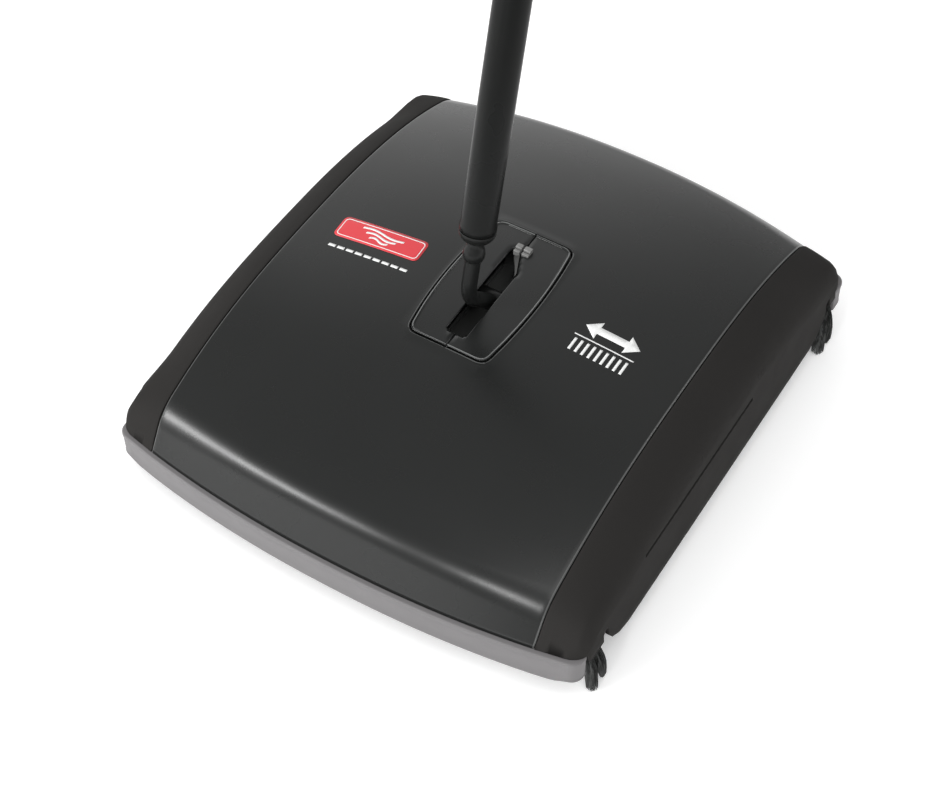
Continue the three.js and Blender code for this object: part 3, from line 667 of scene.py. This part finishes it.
def build_slot_well():
    """The closed trough under the slot: a floor clear of the pivot sleeve and a ramp at each end."""
    under = 3.2
    line = [(-37.0, hood_z(0, -37) - under), (-35.0, 62.0), (-32.0, 56.0), (-29.5, WELL_FLOOR),
            (24.0, WELL_FLOOR), (26.5, 56.0), (29.0, 62.0), (31.0, hood_z(0, 31) - under)]
    verts = []
    for y, z in line:
        wall = max(z, WELL_FLOOR + 2.4)
        verts += [(-WELL_X, y, wall), (-WELL_X, y, z), (WELL_X, y, z), (WELL_X, y, wall)]
    faces = band(len(line), 4, closed=False)
    well = solid("slot_well", verts, faces, well_plastic, "base", sharp=40)
    thicken(well, 1.0, offset=0)


build_throat_ramp()
build_slot_well()
for side_name in SIDES:
    build_slot_plate(side_name)
    build_rim_line(side_name)
    build_clip(side_name)

# ---- side covers


def bumper_line(x, depth, end):
    slope = CORNER_SLOPE[end]
    return BUMPER_Y - slope * (x - SEAM_X) - depth * math.hypot(1, slope)


def corner_path(depth, inner_x, wall_x, radius, count, end):
    """From inner_x along the bumper's line, round to a wall at wall_x: (x, y, nx, ny)."""
    facing = math.atan2(1, CORNER_SLOPE[end])
    start_x = wall_x - radius + radius * math.cos(facing)
    cx, cy = wall_x - radius, bumper_line(start_x, depth, end) - radius * math.sin(facing)
    path = [(x, bumper_line(x, depth, end), math.cos(facing), math.sin(facing))
            for x in steps(inner_x, start_x, 6)[:-1]]
    for a in steps(facing, 0, count):
        path.append((cx + radius * math.cos(a), cy + radius * math.sin(a), math.cos(a), math.sin(a)))
    return path


def smooth(x, low, high):
    t = min(1, max(0, (x - low) / (high - low)))
    return t * t * (3 - 2 * t)


def roof_z(x, y):
    """Height of a cover's shoulder, which falls away from the hood's side edge."""
    past = abs(y) - BEND_Y
    t = 1 + FACE * past / (FOOT_Y - BEND_Y)
    if past > -BEND_SOFT_SIDE:
        t = (past + BEND_Y) / BEND_Y if past < 0 else t
        seam = hood_profile(SEAM_X, t).y
    else:
        seam = hood_z(SEAM_X, y)
    across = max(0, (x - SEAM_X) / (COVER_BREAK_X - SEAM_X))
    ends = smooth(abs(y), 85, 122)
    return seam - SHOULDER_DROP * across**1.4 * (1 - 0.55 * ends)


def wall_x(z):
    lean = (COVER_SKIRT_X - COVER_BREAK_X) / (COVER_BREAK_Z - COVER_BOTTOM)
    return COVER_SKIRT_X - lean * (z - COVER_BOTTOM)


# The cover's lower edge as (distance from mid depth, z), with the notch between 104.6 and 109.
SKIRT = [(0, 12.6), (88, 12.6), (96, 14.5), (102, 18.5), (104.6, 23), (104.61, 28), (106, 29.4),
         (107.6, 29.4), (108.99, 28), (109, 23.5), (120.7, 23.5), (120.9, FOOT_Z), (140, FOOT_Z)]
GROOVE, GROOVE_DEPTH = (39.2, 41.0, -73.0, 26.0), 0.9  # lowest and highest z, front and rear y
WALL_LEVELS = [46, 43, 41.25, 41.0, 40.1, 39.2, 38.95, 35, 31, 27, 23.5, 20, 16, 12.6]
CORNER_Z = 34  # the height at which the cover's corners have their full radius


def skirt_z(y):
    return float(np.interp(abs(y), *zip(*SKIRT)))


def cover_rim():
    """The cover's outer edge from front to rear: (x, y, radius of its edge, z, nx, ny) at each point."""
    corner_x = wall_x(CORNER_Z)
    front, rear = (corner_path(LEDGE, COVER_SEAM_X, corner_x, COVER_CORNER, 14, end) for end in (-1, 1))
    marks = {y * end for y, _ in SKIRT[1:10] for end in (-1, 1)}
    marks |= {GROOVE[2], GROOVE[2] - 0.1, GROOVE[3], GROOVE[3] + 0.1}
    wall_y = sorted({round(v, 3) for v in steps(-118, 118, 118)} | marks)
    path = [(x, -y, nx, -ny) for x, y, nx, ny in front]
    path += [(None, y, 1, 0) for y in wall_y if 0.2 - front[-1][1] < y < rear[-1][1] - 0.2]
    path += [(x, y, nx, ny) for x, y, nx, ny in reversed(rear)]
    rim = []
    for x, y, nx, ny in path:
        wall = wall_x(roof_z(COVER_BREAK_X, y) - 2)
        x = wall if x is None else x + (wall - corner_x) * smooth(nx, 0.5, 1)
        z = roof_z(min(x, COVER_BREAK_X), y)
        r = min(0.6 + 5.0 * smooth(nx, 0.1, 0.8), max(0.05, z - skirt_z(y) - 0.4))
        rim.append((x, y, r, z - r, nx, ny))
    return rim


def build_cover(side_name):
    """The roof from the seam to the rim, and the wall below the rim with its groove and notches."""
    side = SIDES[side_name]
    rim = cover_rim()
    boundary = [point[:2] for point in rim]
    loop = boundary + [(COVER_SEAM_X, y) for y in steps(127, -127, 84)]
    grid = [(x, y) for x in steps(COVER_SEAM_X + 1.6, 115.5, 9) for y in steps(-128, 128, 100)]
    grid += [(x, y) for x in (116.2, 116.8, 117.3) for y in steps(-108, 108, 100)]
    grid = within(grid, loop, [0.35 if abs(y) < 112 else 1.3 for _, y in grid])
    lines = [([(COVER_SEAM_X + d, y) for y in steps(-128, 128, 100)], False) for d in EDGE_STEPS[1:]]
    flat, faces = triangulate(loop, [], lines, grid)
    edge, which = distance_to(flat, boundary, closed=False)
    verts = []
    for (x, y), d, w in zip(flat, edge, which):
        drop = edge_drop(d, rim[w][2])
        z = roof_z(min(x, COVER_BREAK_X), y) - drop
        verts.append([side * x, y, z - edge_drop(x - COVER_SEAM_X, 0.8)])
    index_at = {(round(x, 3), round(y, 3)): i for i, (x, y) in enumerate(flat)}
    columns = []
    for x, y, _, z, nx, ny in rim:
        top = index_at[(round(x, 3), round(y, 3))]
        verts[top][2] = z
        low = min(skirt_z(y), z - 0.02)
        column = [top]
        for level in WALL_LEVELS + [low]:
            zz = max(low, min(level, z))
            lean = wall_x(zz) - wall_x(z)
            grooved = GROOVE[0] <= zz <= GROOVE[1] and GROOVE[2] <= y <= GROOVE[3] and nx == 1
            column.append(len(verts))
            verts.append([side * (x + nx * (lean - (GROOVE_DEPTH if grooved else 0))), y, zz])
        columns.append(column)
    for a, b in zip(columns, columns[1:]):
        faces += [(a[k], b[k], b[k + 1], a[k + 1]) for k in range(len(a) - 1)]
    skin(f"side_cover_{side_name}_skin", verts, faces, COVER_WALL, cover_plastic,
         [f"side_cover_{side_name}"], sharp=50, merge=2e-6)


for side_name in SIDES:
    build_cover(side_name)

# ---- bumpers


def bumper_path(end):
    path = []
    for x in steps(0, SEAM_X, 46)[:-1]:
        slope = FOOT_BOW * BOW_POWER * (x / SEAM_X) ** (BOW_POWER - 1) / SEAM_X
        length = math.hypot(1, slope)
        path.append((x, BUMPER_Y + FOOT_BOW * bow(x), slope / length, 1 / length))
    path += corner_path(0, SEAM_X, BUMPER_END_X[end], BUMPER_CORNER, 14, end)
    end_x, end_y = BUMPER_END_X[end], BUMPER_END_Y[end]
    path += [(end_x, end_y + 0.6, 1, 0), (end_x - 0.15, end_y + 0.2, 1, 0), (end_x - 0.6, end_y, 1, 0)]
    return path


END_RISE = 2.3  # the strip is this much shallower at its ends


def bumper_section():
    """(depth, z) round the strip: a rounded top edge, a fine step below it and a lipped bottom."""
    top = FOOT_Z - GAP
    quarter = steps(0, math.pi / 2, 6)
    out = [(1 - math.sin(a), BUMPER_BOTTOM + 1 - math.cos(a)) for a in quarter]
    out += [(0.0, BUMPER_BOTTOM + 1.7), (0.22, BUMPER_BOTTOM + 2.0), (0.22, top - 2.3), (0.0, top - 2.0)]
    out += [(0.9 - 0.9 * math.cos(a), top - 0.9 + 0.9 * math.sin(a)) for a in quarter]
    out += [(BUMPER_THICK - 0.4, top), (BUMPER_THICK, top - 0.4)]
    out += [(BUMPER_THICK, BUMPER_BOTTOM + 0.4), (BUMPER_THICK - 0.4, BUMPER_BOTTOM)]
    return out


def build_bumper(end_name):
    end = ENDS[end_name]
    right = bumper_path(end)
    path = [(-x, y, -nx, ny) for x, y, nx, ny in reversed(right[1:])] + right
    section = bumper_section()
    verts = []
    for i, (x, y, nx, ny) in enumerate(path):
        from_end = min(i, len(path) - 1 - i)
        squeeze = {0: 0.82, 1: 0.94, 2: 0.99}.get(from_end, 1.0)
        mid_depth, mid_z = BUMPER_THICK / 2, (FOOT_Z + BUMPER_BOTTOM) / 2
        rise = END_RISE * smooth(abs(x), 106, 114.5)
        for depth, z in section:
            z += rise * (FOOT_Z - z) / (FOOT_Z - BUMPER_BOTTOM)
            d = mid_depth + (depth - mid_depth) * squeeze
            zz = mid_z + (z - mid_z) * (1 - (1 - squeeze) * 0.3)
            verts.append((x - d * nx, end * (y - d * ny), zz))
    faces = capped(len(path), len(section))
    solid(f"bumper_{end_name}_strip", verts, faces, bumper_vinyl, "base",
          [f"bumper_{end_name}"], sharp=40)


for end_name in ENDS:
    build_bumper(end_name)

# ---- fibres


BRISTLE_R = 0.26
GOLDEN_ANGLE = 2.399963  # the turn from one bristle to the next that spreads them evenly


def tuft(verts, faces, root, tip, root_radius, tip_radius, count, sag, rounded_tip):
    """A bundle of bristles from root to tip, splayed at the tip."""
    root, tip = Vector(root), Vector(tip)
    for k in range(count):
        r = math.sqrt((k + 0.5) / count)
        a = k * GOLDEN_ANGLE
        u, v = r * math.cos(a), r * math.sin(a)
        shorten = rounded_tip * (r**2) * 5.0 + rng.uniform(0, 0.6)
        start = root + Vector((u, v, 0)) * root_radius
        finish = tip + Vector((u * tip_radius, v * tip_radius, shorten))
        points = []
        for s in steps(0, 1, 6):
            belly = math.sin(math.pi * s) * sag
            p = start.lerp(finish, s) + Vector((belly, 0, 0))
            p += Vector((u, v, 0)) * 0.6 * math.sin(math.pi * s)
            points.append((p.x, p.y, max(0.25, p.z)))
        strand(verts, faces, points, BRISTLE_R)


# Where each end's two bundles touch the floor, and how wide they are there: (x, y, radius).
TUFT_TIPS = {"front": ((119.4, -117.4, 2.6), (120.7, -111.2, 1.8)),
             "rear": ((120.2, 100.4, 2.9), (121.4, 106.6, 2.1))}


def build_corner_tufts(side_name, end_name):
    """Two bundles of bristles in one holder, swept forwards at their tips."""
    side, end = SIDES[side_name], ENDS[end_name]
    (x0, y0, r0), (x1, y1, r1) = TUFT_TIPS[end_name]
    bundles = [((112.2, end * 112 - 2.0, 23), (x0, y0, 0.3), 2.1, r0, 80, 1.2, 0.0),
               ((113.0, end * 112 + 1.6, 23), (x1, y1, 0.3), 1.9, r1, 60, 1.8, 0.9)]
    verts, faces = [], []
    for bundle in bundles:
        tuft(verts, faces, *bundle)
    verts = [(side * x, y, z) for x, y, z in verts]
    solid(f"corner_tuft_{end_name}_{side_name}_fibres", verts, faces, fibre, "base",
          [f"corner_tuft_{end_name}_{side_name}"], sharp=70, merge=1e-7)


for side_name in SIDES:
    for end_name in ENDS:
        build_corner_tufts(side_name, end_name)

ROLLER_Z, CORE_R, TIP_R, ROLLER_HALF = 24.8, 9.0, 23.7, 91.0


def build_bristle_row(row):
    """One V-shaped row of tufts wound round the roller's core."""
    verts, faces = [], []
    turn = (row - 1) * math.pi / 2
    for x in steps(-ROLLER_HALF + 3, ROLLER_HALF - 3, 44):
        angle = turn + abs(x) / ROLLER_HALF * 1.2
        for k in range(9):
            dx, da = rng.uniform(-1.3, 1.3), rng.uniform(-0.05, 0.05)
            reach = TIP_R - rng.uniform(0, 0.5)
            points = []
            for s in (0, 0.5, 1):
                r = CORE_R - 0.6 + (reach - CORE_R + 0.6) * s
                a = angle + da * (1 + s)
                points.append((x + dx * (0.5 + 1.1 * s), r * math.cos(a), ROLLER_Z + r * math.sin(a)))
            strand(verts, faces, points, BRISTLE_R)
    solid(f"bristle_row_{row}_fibres", verts, faces, brush_fibre, "brush", [f"bristle_row_{row}"],
          sharp=70, merge=1e-7)


for row in (1, 2, 3, 4):
    build_bristle_row(row)

# ---- handle


def build_rod():
    """The bent rod, swept along its elbow, and the cross sleeve that turns on the pivot pin."""
    up = Vector((0, math.sin(LEAN), math.cos(LEAN)))
    down = (PIVOT - ELBOW).normalized()
    reach = 9
    line = [PIVOT.lerp(ELBOW + down * reach, s) for s in steps(0, 1, 8)]
    a, b, c = ELBOW + down * reach, ELBOW, ELBOW + up * reach
    line += [(1 - s) ** 2 * a + 2 * s * (1 - s) * b + s * s * c for s in steps(0, 1, 18)[1:]]
    line += [c.lerp(ELBOW + up * 30, s) for s in steps(0, 1, 10)[1:]]
    verts, faces = [], []
    strand(verts, faces, line, ROD_R, tip=1.0, sides=32, across=Vector((1, 0, 0)))
    solid("yoke_rod_bent", verts, faces, rod_steel, "handle", ["yoke_rod"])
    sleeve = [(2.3, -10.5), (4.6, -10.5), (5, -10.1), (5, 10.1), (4.6, 10.5), (2.3, 10.5), (2.3, -10.5)]
    axle_lathe("yoke_sleeve", sleeve, PIVOT.y, PIVOT.z, rod_steel, "handle")


build_rod()
crimp = [(3.55, 20.4), (3.9, 20.5), (4.35, 21.2), (4.75, 22.3), (4.9, 23.6), (4.8, 25.0), (4.4, 26.5),
         (4.0, 27.6), (3.8, 28.6), (3.8, 30.0), (3.55, 30.0), (3.55, 20.4)]
handle_lathe("knuckle_crimp", crimp, rod_steel, ["knuckle"], segments=56)
cup = [(0, 30.3), (4.3, 30.3), (5.0, 30.6), (6.3, 31.6), (7.3, 32.8), (7.9, 34.0), (8.2, 35.2), (8.15, 35.8),
       (7.8, 36.0), (6.6, 36.0), (6.6, 58), (0, 58)]
handle_lathe("ferrule_cup", cup, ferrule_plastic, ["handle_ferrule"])


def tube_bottom(i):
    return TUBE_START + sum(TUBE_LENGTHS[:i]) + i * (COLLAR + 2 * GAP)


def build_tube(i, name):
    low, high, inner = tube_bottom(i), tube_bottom(i) + TUBE_LENGTHS[i], TUBE_R - 0.9
    foot_r = TUBE_R + (0.35 if i == 0 else 0.0)
    profile = [(inner, low), (foot_r - 0.25, low), (foot_r, low + 0.3), (foot_r, low + 2.2),
               (TUBE_R, low + 4.2), (TUBE_R, high - 0.3), (TUBE_R - 0.3, high), (inner, high), (inner, low)]
    handle_lathe(f"handle_tube_{name}_steel", profile, handle_coat,
                 [f"handle_tube_{name}"], 96)


def build_joiner(i, name):
    low = tube_bottom(i) + TUBE_LENGTHS[i] + GAP
    plug, high = TUBE_R - 1.2, low + COLLAR
    profile = [(0, low - 24), (plug - 0.6, low - 24), (plug, low - 23.4), (plug, low), (TUBE_R + 0.9, low)]
    for h in steps(low + 1, high - 1, 16):
        ridge = 0.35 * abs(math.sin((h - low) * math.pi / 2.5))
        profile.append((TUBE_R + 1.0 + ridge, h))
    profile += [(TUBE_R + 0.9, high), (plug, high), (plug, high + 23.4), (plug - 0.6, high + 24),
                (0, high + 24)]
    handle_lathe(f"tube_joiner_{name}_collar", profile, ferrule_plastic,
                 [f"tube_joiner_{name}"])


for i, name in enumerate(("lower", "middle", "upper")):
    build_tube(i, name)
for i, name in enumerate(("lower", "upper")):
    build_joiner(i, name)

GRIP_BOTTOM = tube_bottom(2) + TUBE_LENGTHS[2] + GAP
GRIP_TOP = GRIP_BOTTOM + GRIP_LENGTH


def build_grip():
    profile = [(0, GRIP_BOTTOM), (TUBE_R + 1.2, GRIP_BOTTOM), (TUBE_R + 1.9, GRIP_BOTTOM + 0.8)]
    for s in steps(0, 1, 132):
        h = GRIP_BOTTOM + 4 + s * (GRIP_LENGTH - 8)
        ring = 0.3 * (0.5 + 0.5 * math.cos(2 * math.pi * s * 22)) if 0.12 < s < 0.88 else 0.3
        profile.append((TUBE_R + 1.95 + 2 * math.sin(math.pi * s) - 0.3 + ring, h))
    profile += [(TUBE_R + 1.4, GRIP_TOP - 1.2), (TUBE_R + 0.4, GRIP_TOP), (0, GRIP_TOP)]
    handle_lathe("grip_sleeve", profile, grip_vinyl, ["grip"], 64)


def build_hang_eye():
    """A flattened ring on a short foot."""
    low = GRIP_TOP + GAP
    centre, ring_r, half = low + 14, 8.5, 2.5
    section = []
    for b in steps(0, 2 * math.pi, 20):
        flat_x, flat_y = (half * math.copysign(abs(w) ** 0.7, w) for w in (math.cos(b), math.sin(b)))
        section.append((ring_r + flat_x, flat_y))
    verts, faces = lathe_parts(section, 64)
    verts = [on_handle((x, y, centre + z)) for x, z, y in verts]
    solid("hang_eye_ring", verts, faces, ferrule_plastic, "handle", ["hang_eye"])
    foot = [(0, 0), (5.2, 0), (5.8, 0.5), (5.6, 2.5), (4.2, 5.2), (3.2, 6.6), (0, 6.8)]
    verts, faces = lathe_parts([(r, low + h) for r, h in foot], 40)
    verts = [on_handle((x, y * 0.43, h)) for x, y, h in verts]
    solid("hang_eye_foot", verts, faces, ferrule_plastic, "handle")


build_grip()
build_hang_eye()

# ---- wheels, roller and frame

WHEEL_R, DRUM_R, WHEEL_X, WHEEL_W = 24.0, 16.0, 101.0, 10.0
WHEEL_Y = (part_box("wheel_tyre_rear_right")[0].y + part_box("wheel_tyre_rear_right")[1].y) / 2 / MM - HEAD_Y / MM


def build_wheel(side_name, end_name):
    side, end = SIDES[side_name], ENDS[end_name]
    a, b = WHEEL_X, WHEEL_X + WHEEL_W
    body = f"wheel_{end_name}_{side_name}"
    tread = [(19.5, a + 0.5), (WHEEL_R - 1.2, a), (WHEEL_R - 0.3, a + 0.35), (WHEEL_R, a + 1.1)]
    for k in range(3):
        x = a + 2.6 + k * 2.4
        tread += [(WHEEL_R, x - 0.35), (WHEEL_R - 0.7, x - 0.15), (WHEEL_R - 0.7, x + 0.15),
                  (WHEEL_R, x + 0.35)]
    tread += [(WHEEL_R, b - 1.1), (WHEEL_R - 0.3, b - 0.35), (WHEEL_R - 1.2, b), (19.5, b - 0.5),
              (19.5, a + 0.5)]
    axle_lathe(f"tyre_{end_name}_{side_name}", tread, end * WHEEL_Y, WHEEL_R, tyre_rubber, body,
               [f"wheel_tyre_{end_name}_{side_name}"], 96, side)
    hub = [(2.7, a), (5.6, a), (6, a + 0.4), (6, a + 2.6), (6.6, a + 3), (16, a + 3), (16.5, a + 2.6),
           (16.5, a + 1.3), (16.9, a + 1), (18.7, a + 1), (19, a + 1.3), (19, b - 1.3), (18.7, b - 1),
           (16.9, b - 1), (16.5, b - 1.3), (16.5, a + 6.4), (16, a + 6), (6.6, a + 6), (6, a + 6.4),
           (6, b - 0.9), (5.6, b - 0.5), (2.7, b - 0.5), (2.7, a)]
    axle_lathe(f"hub_{end_name}_{side_name}", hub, end * WHEEL_Y, WHEEL_R, grey_plastic, body,
               [f"wheel_hub_{end_name}_{side_name}"], 72, side)


def build_drum(side_name):
    a, b = WHEEL_X, WHEEL_X + WHEEL_W
    profile = [(3.3, a), (DRUM_R - 0.5, a), (DRUM_R, a + 0.5)]
    for x in steps(a + 1.2, b - 1.2, 20):
        profile.append((DRUM_R - 0.2 * (0.5 - 0.5 * math.cos((x - a) * math.pi * 1.3)), x))
    profile += [(DRUM_R, b - 0.5), (DRUM_R - 0.5, b), (3.3, b), (3.3, a)]
    axle_lathe(f"drum_{side_name}", profile, 0, ROLLER_Z, drum_rubber, "brush",
               [f"drive_drum_{side_name}"], 80, SIDES[side_name])


for side_name in SIDES:
    build_drum(side_name)
    for end_name in ENDS:
        build_wheel(side_name, end_name)
core = [(3.3, -ROLLER_HALF), (CORE_R - 0.5, -ROLLER_HALF), (CORE_R, -ROLLER_HALF + 0.5),
        (CORE_R, ROLLER_HALF - 0.5), (CORE_R - 0.5, ROLLER_HALF), (3.3, ROLLER_HALF), (3.3, -ROLLER_HALF)]
axle_lathe("roller_core_tube", core, 0, ROLLER_Z, grey_plastic, "brush", ["roller_core"], 64)
shaft = [(0, -113.5), (2.6, -113.5), (3, -113.1), (3, 113.1), (2.6, 113.5), (0, 113.5)]
axle_lathe("roller_shaft_rod", shaft, 0, ROLLER_Z, zinc, "brush", ["roller_shaft"], 40)

# The material and edge radius of each CAD shape that is kept.
EASED_ANGLE = 50  # edges sharper than this many degrees are eased
KEPT = {"pivot_bridge": (rod_steel, 0.35), "pivot_pin": (rod_steel, 0.25), "end_plate_": (zinc, 0.25),
        "roller_bearing_": (grey_plastic, 0.3), "wheel_axle_": (zinc, 0.25),
        "corner_holder_": (pan_plastic, 0.6), "cross_bar_": (zinc, 0.3), "dust_pan_": (pan_plastic, 0.35),
        "pan_hinge_rod_": (zinc, 0.2)}


def dress_kept_nodes():
    """CAD nodes whose shape is right keep it, with eased edges and a real finish."""
    for name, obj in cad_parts.items():
        for prefix, (material, ease) in KEPT.items():
            if not name.startswith(prefix):
                continue
            for slot in obj.material_slots:
                slot.material = material
            bevel = obj.modifiers.new("eased_edges", "BEVEL")
            bevel.width = ease * MM
            bevel.segments = 2
            bevel.limit_method = "ANGLE"
            bevel.angle_limit = math.radians(EASED_ANGLE)


dress_kept_nodes()

# ---- label and printed mark


LABEL_TOP, LABEL_PRINT_TOP, INK_TOP = 0.18, 0.26, 0.08  # heights above the hood's surface


def printed(name, outline, holes, height, material, spacing=1.2):
    """A thin printed or stuck-on shape that follows the hood."""
    boundary = resample(outline, spacing)
    cuts = [resample(h, spacing) for h in holes]
    xs, ys = [p[0] for p in boundary], [p[1] for p in boundary]
    grid = [(x, y) for x in steps(min(xs), max(xs), max(2, int((max(xs) - min(xs)) / 2.5)))
            for y in steps(min(ys), max(ys), max(2, int((max(ys) - min(ys)) / 2.5)))]
    grid = within(grid, boundary, 0.5)
    for cut in cuts:
        gap, _ = distance_to(grid, cut)
        grid = [p for p, keep in zip(grid, ~inside(grid, cut) & (gap > 0.4)) if keep]
    flat, faces = triangulate(boundary, cuts, [], grid)
    skin(name, [hood_top(x, y, height) for x, y in flat], faces, height * 0.9, material)


def pill(cx, cy, half_x, half_y, corner, turn=0.0):
    loop = rounded([(-half_x, -half_y), (half_x, -half_y), (half_x, half_y), (-half_x, half_y)], corner, 8)
    c, s = math.cos(turn), math.sin(turn)
    return [(cx + x * c - y * s, cy + x * s + y * c) for x, y in loop]


def bar(x0, y0, x1, y1, half):
    d = Vector((x1 - x0, y1 - y0)).normalized() * half
    n = Vector((-d.y, d.x))
    a, b = Vector((x0, y0)), Vector((x1, y1))
    return [tuple(p) for p in (a - n, b - n, b + n, a + n)]


def ink(name, outline):
    printed(name, outline, [], INK_TOP, print_white, spacing=0.9)


def build_label():
    """A plain red label with a white keyline and three sweeping strokes, over a row of dashes."""
    cx, cy, hx, hy, turn = -60.0, 0.2, 22.0, 6.6, 0.06
    printed("label_plate", pill(cx, cy, hx, hy, 3.0, turn), [], LABEL_TOP, label_red)
    printed("label_keyline", pill(cx, cy, hx - 1.1, hy - 1.1, 2.2, turn),
            [pill(cx, cy, hx - 1.5, hy - 1.5, 1.9, turn)], LABEL_PRINT_TOP, print_white, spacing=0.8)
    for k, (x0, width) in enumerate(((-11, 22), (-8, 16), (-5, 10))):
        y0 = 2.3 - k * 2.3
        low = [(cx + x0 + s * width, cy + y0 - 0.55 + 0.8 * math.sin(s * math.pi * 2))
               for s in steps(0, 1, 24)]
        high = [(x, y + 1.1) for x, y in reversed(low)]
        printed(f"label_stroke_{k + 1}", low + high, [], LABEL_PRINT_TOP, print_white, spacing=0.8)
    for k in range(9):
        x, y = -79.5 + k * 4.7, -13.6 + k * 0.2
        ink(f"label_dash_{k + 1}", bar(x, y, x + 3.6, -13.45 + k * 0.2, 0.75))


def build_printed_mark():
    """A two-way arrow over a thin rule and a row of short strokes, in white print."""
    cx, cy = 59.3, 2.4
    arrow = [(-13.5, 0), (-7.0, 5.2), (-7.0, 2.0), (7.0, 2.0), (7.0, 5.2), (13.5, 0), (7.0, -5.2),
             (7.0, -2.0), (-7.0, -2.0), (-7.0, -5.2)]
    ink("mark_arrow", [(cx + x, cy + y) for x, y in arrow])
    ink("mark_rule", bar(43.9, -4.4, 73.2, -4.4, 0.3))
    for k in range(9):
        x = 46.0 + k * 3.15
        ink(f"mark_stroke_{k + 1}", bar(x, -6.4, x, -13.6, 0.62))


build_label()
build_printed_mark()

# ---- floor, light and camera


FLOOR_REACH = 6.0  # metres from the middle to each side
WASH_POWER = 20.0
ROOM_LEVEL, REAR_GLOW = 0.50, 0.90
AZIMUTH, ELEVATION, ROLL = 31.976, 50.627, -0.509
TARGET, DISTANCE, FOCAL = (13.41, -38.01, 40.67), 866.9, 74.17


def build_floor():
    mesh = bpy.data.meshes.new("floor")
    corners = ((-1, -1), (1, -1), (1, 1), (-1, 1))
    mesh.from_pydata([(x * FLOOR_REACH, y * FLOOR_REACH, 0) for x, y in corners], [], [(0, 1, 2, 3)])
    floor = bpy.data.objects.new("floor", mesh)
    bpy.context.collection.objects.link(floor)
    floor.location.z = -0.0002
    s = Shader("floor_white", (0.9, 0.9, 0.9), 0.9, Specular_IOR_Level=0.0)
    s.set("Emission Color", (1, 1, 1, 1))
    s.set("Emission Strength", 0.25)
    mesh.materials.append(s.material)


def direction_at(azimuth, elevation):
    """The unit vector in a direction in radians; azimuth 0 is the front (-y)."""
    flat = math.cos(elevation)
    return Vector((math.sin(azimuth) * flat, -math.cos(azimuth) * flat, math.sin(elevation)))


def softbox(name, azimuth, elevation, distance, width, height, power, tilt=0.0, target=(0, -125, 48)):
    """An area light in a direction from the target; azimuth 0 is the front (-y), 90 its right."""
    light = bpy.data.lights.new(name, "AREA")
    light.shape = "RECTANGLE"
    light.size, light.size_y, light.energy = width, height, power
    obj = bpy.data.objects.new(name, light)
    bpy.context.collection.objects.link(obj)
    away = direction_at(math.radians(azimuth), math.radians(elevation))
    obj.location = place(target) + distance * away
    obj.rotation_euler = (place(target) - obj.location).to_track_quat("-Z", "Y").to_euler()
    obj.matrix_basis = obj.matrix_basis @ Matrix.Rotation(math.radians(tilt), 4, "Z")
    return obj


def build_floor_wash():
    """A broad overhead light that falls on the floor alone and keeps it white round the contact shadow."""
    wash = softbox("floor_wash", 0, 89.9, 3.0, 3.0, 3.0, WASH_POWER, target=(0, 0, 0))
    floors = bpy.data.collections.new("washed_floor")
    floors.objects.link(bpy.data.objects["floor"])
    wash.light_linking.receiver_collection = floors


def build_world():
    """A dim even room with one broad soft glow low down behind the object's left side."""
    world = bpy.data.worlds.new("studio")
    bpy.context.scene.world = world
    world.use_nodes = True
    tree = world.node_tree

    def math_node(operation, *inputs):
        return add_node(tree, "Math", dict(enumerate(inputs)), operation=operation).outputs[0]

    def fade(value, *limits):
        return map_range(tree, value, *limits, interpolation_type="SMOOTHSTEP")

    direction = tree.nodes.new("ShaderNodeTexCoord").outputs["Generated"]
    x, y, z = add_node(tree, "SeparateXYZ", {0: direction}).outputs
    azimuth = math_node("DEGREES", math_node("ARCTAN2", x, math_node("MULTIPLY", y, -1.0)))
    elevation = math_node("DEGREES", math_node("ARCSINE", z))
    left_edge, right_edge = fade(azimuth, -132, -116, 1, 0), fade(azimuth, -178, -146, 0, 1)
    top_edge = fade(elevation, 26, 56, 1, 0)
    glow = math_node("MULTIPLY", math_node("MULTIPLY", left_edge, right_edge), top_edge)
    level = math_node("ADD", math_node("MULTIPLY", glow, REAR_GLOW), ROOM_LEVEL)
    background = tree.nodes["Background"]
    tree.links.new(level, background.inputs["Strength"])
    background.inputs["Color"].default_value = (1, 1, 1, 1)


def build_camera():
    camera = bpy.data.cameras.new("camera")
    camera.lens = FOCAL
    camera.sensor_width = 36
    camera.clip_start, camera.clip_end = 0.01, 50
    obj = bpy.data.objects.new("camera", camera)
    bpy.context.collection.objects.link(obj)
    a, e, roll = (math.radians(v) for v in (AZIMUTH, ELEVATION, ROLL))
    back = direction_at(a, e)
    right = Vector((math.cos(a), math.sin(a), 0))
    up = back.cross(right)
    right, up = right * math.cos(roll) + up * math.sin(roll), up * math.cos(roll) - right * math.sin(roll)
    matrix = Matrix((right, up, back)).transposed().to_4x4()
    matrix.translation = place(TARGET) + back * DISTANCE * MM
    obj.matrix_world = matrix
    bpy.context.scene.camera = obj


build_floor()
build_world()
softbox("bend_light_left", -43.5, 25.3, 2.0, 1.40, 0.32, 27, tilt=14)
softbox("bend_light_right", 4.5, 33.0, 2.0, 0.24, 0.30, 7.0, tilt=8)
softbox("edge_light", 121, 17, 2.2, 0.5, 0.30, 3.0, target=(0, 0, 70))
softbox("fill_light", 50, 62, 2.6, 1.6, 1.6, 13, target=(0, 0, 60))
build_floor_wash()
build_camera()
scene = bpy.context.scene
scene.view_settings.view_transform = "Standard"
scene.view_settings.look = "None"
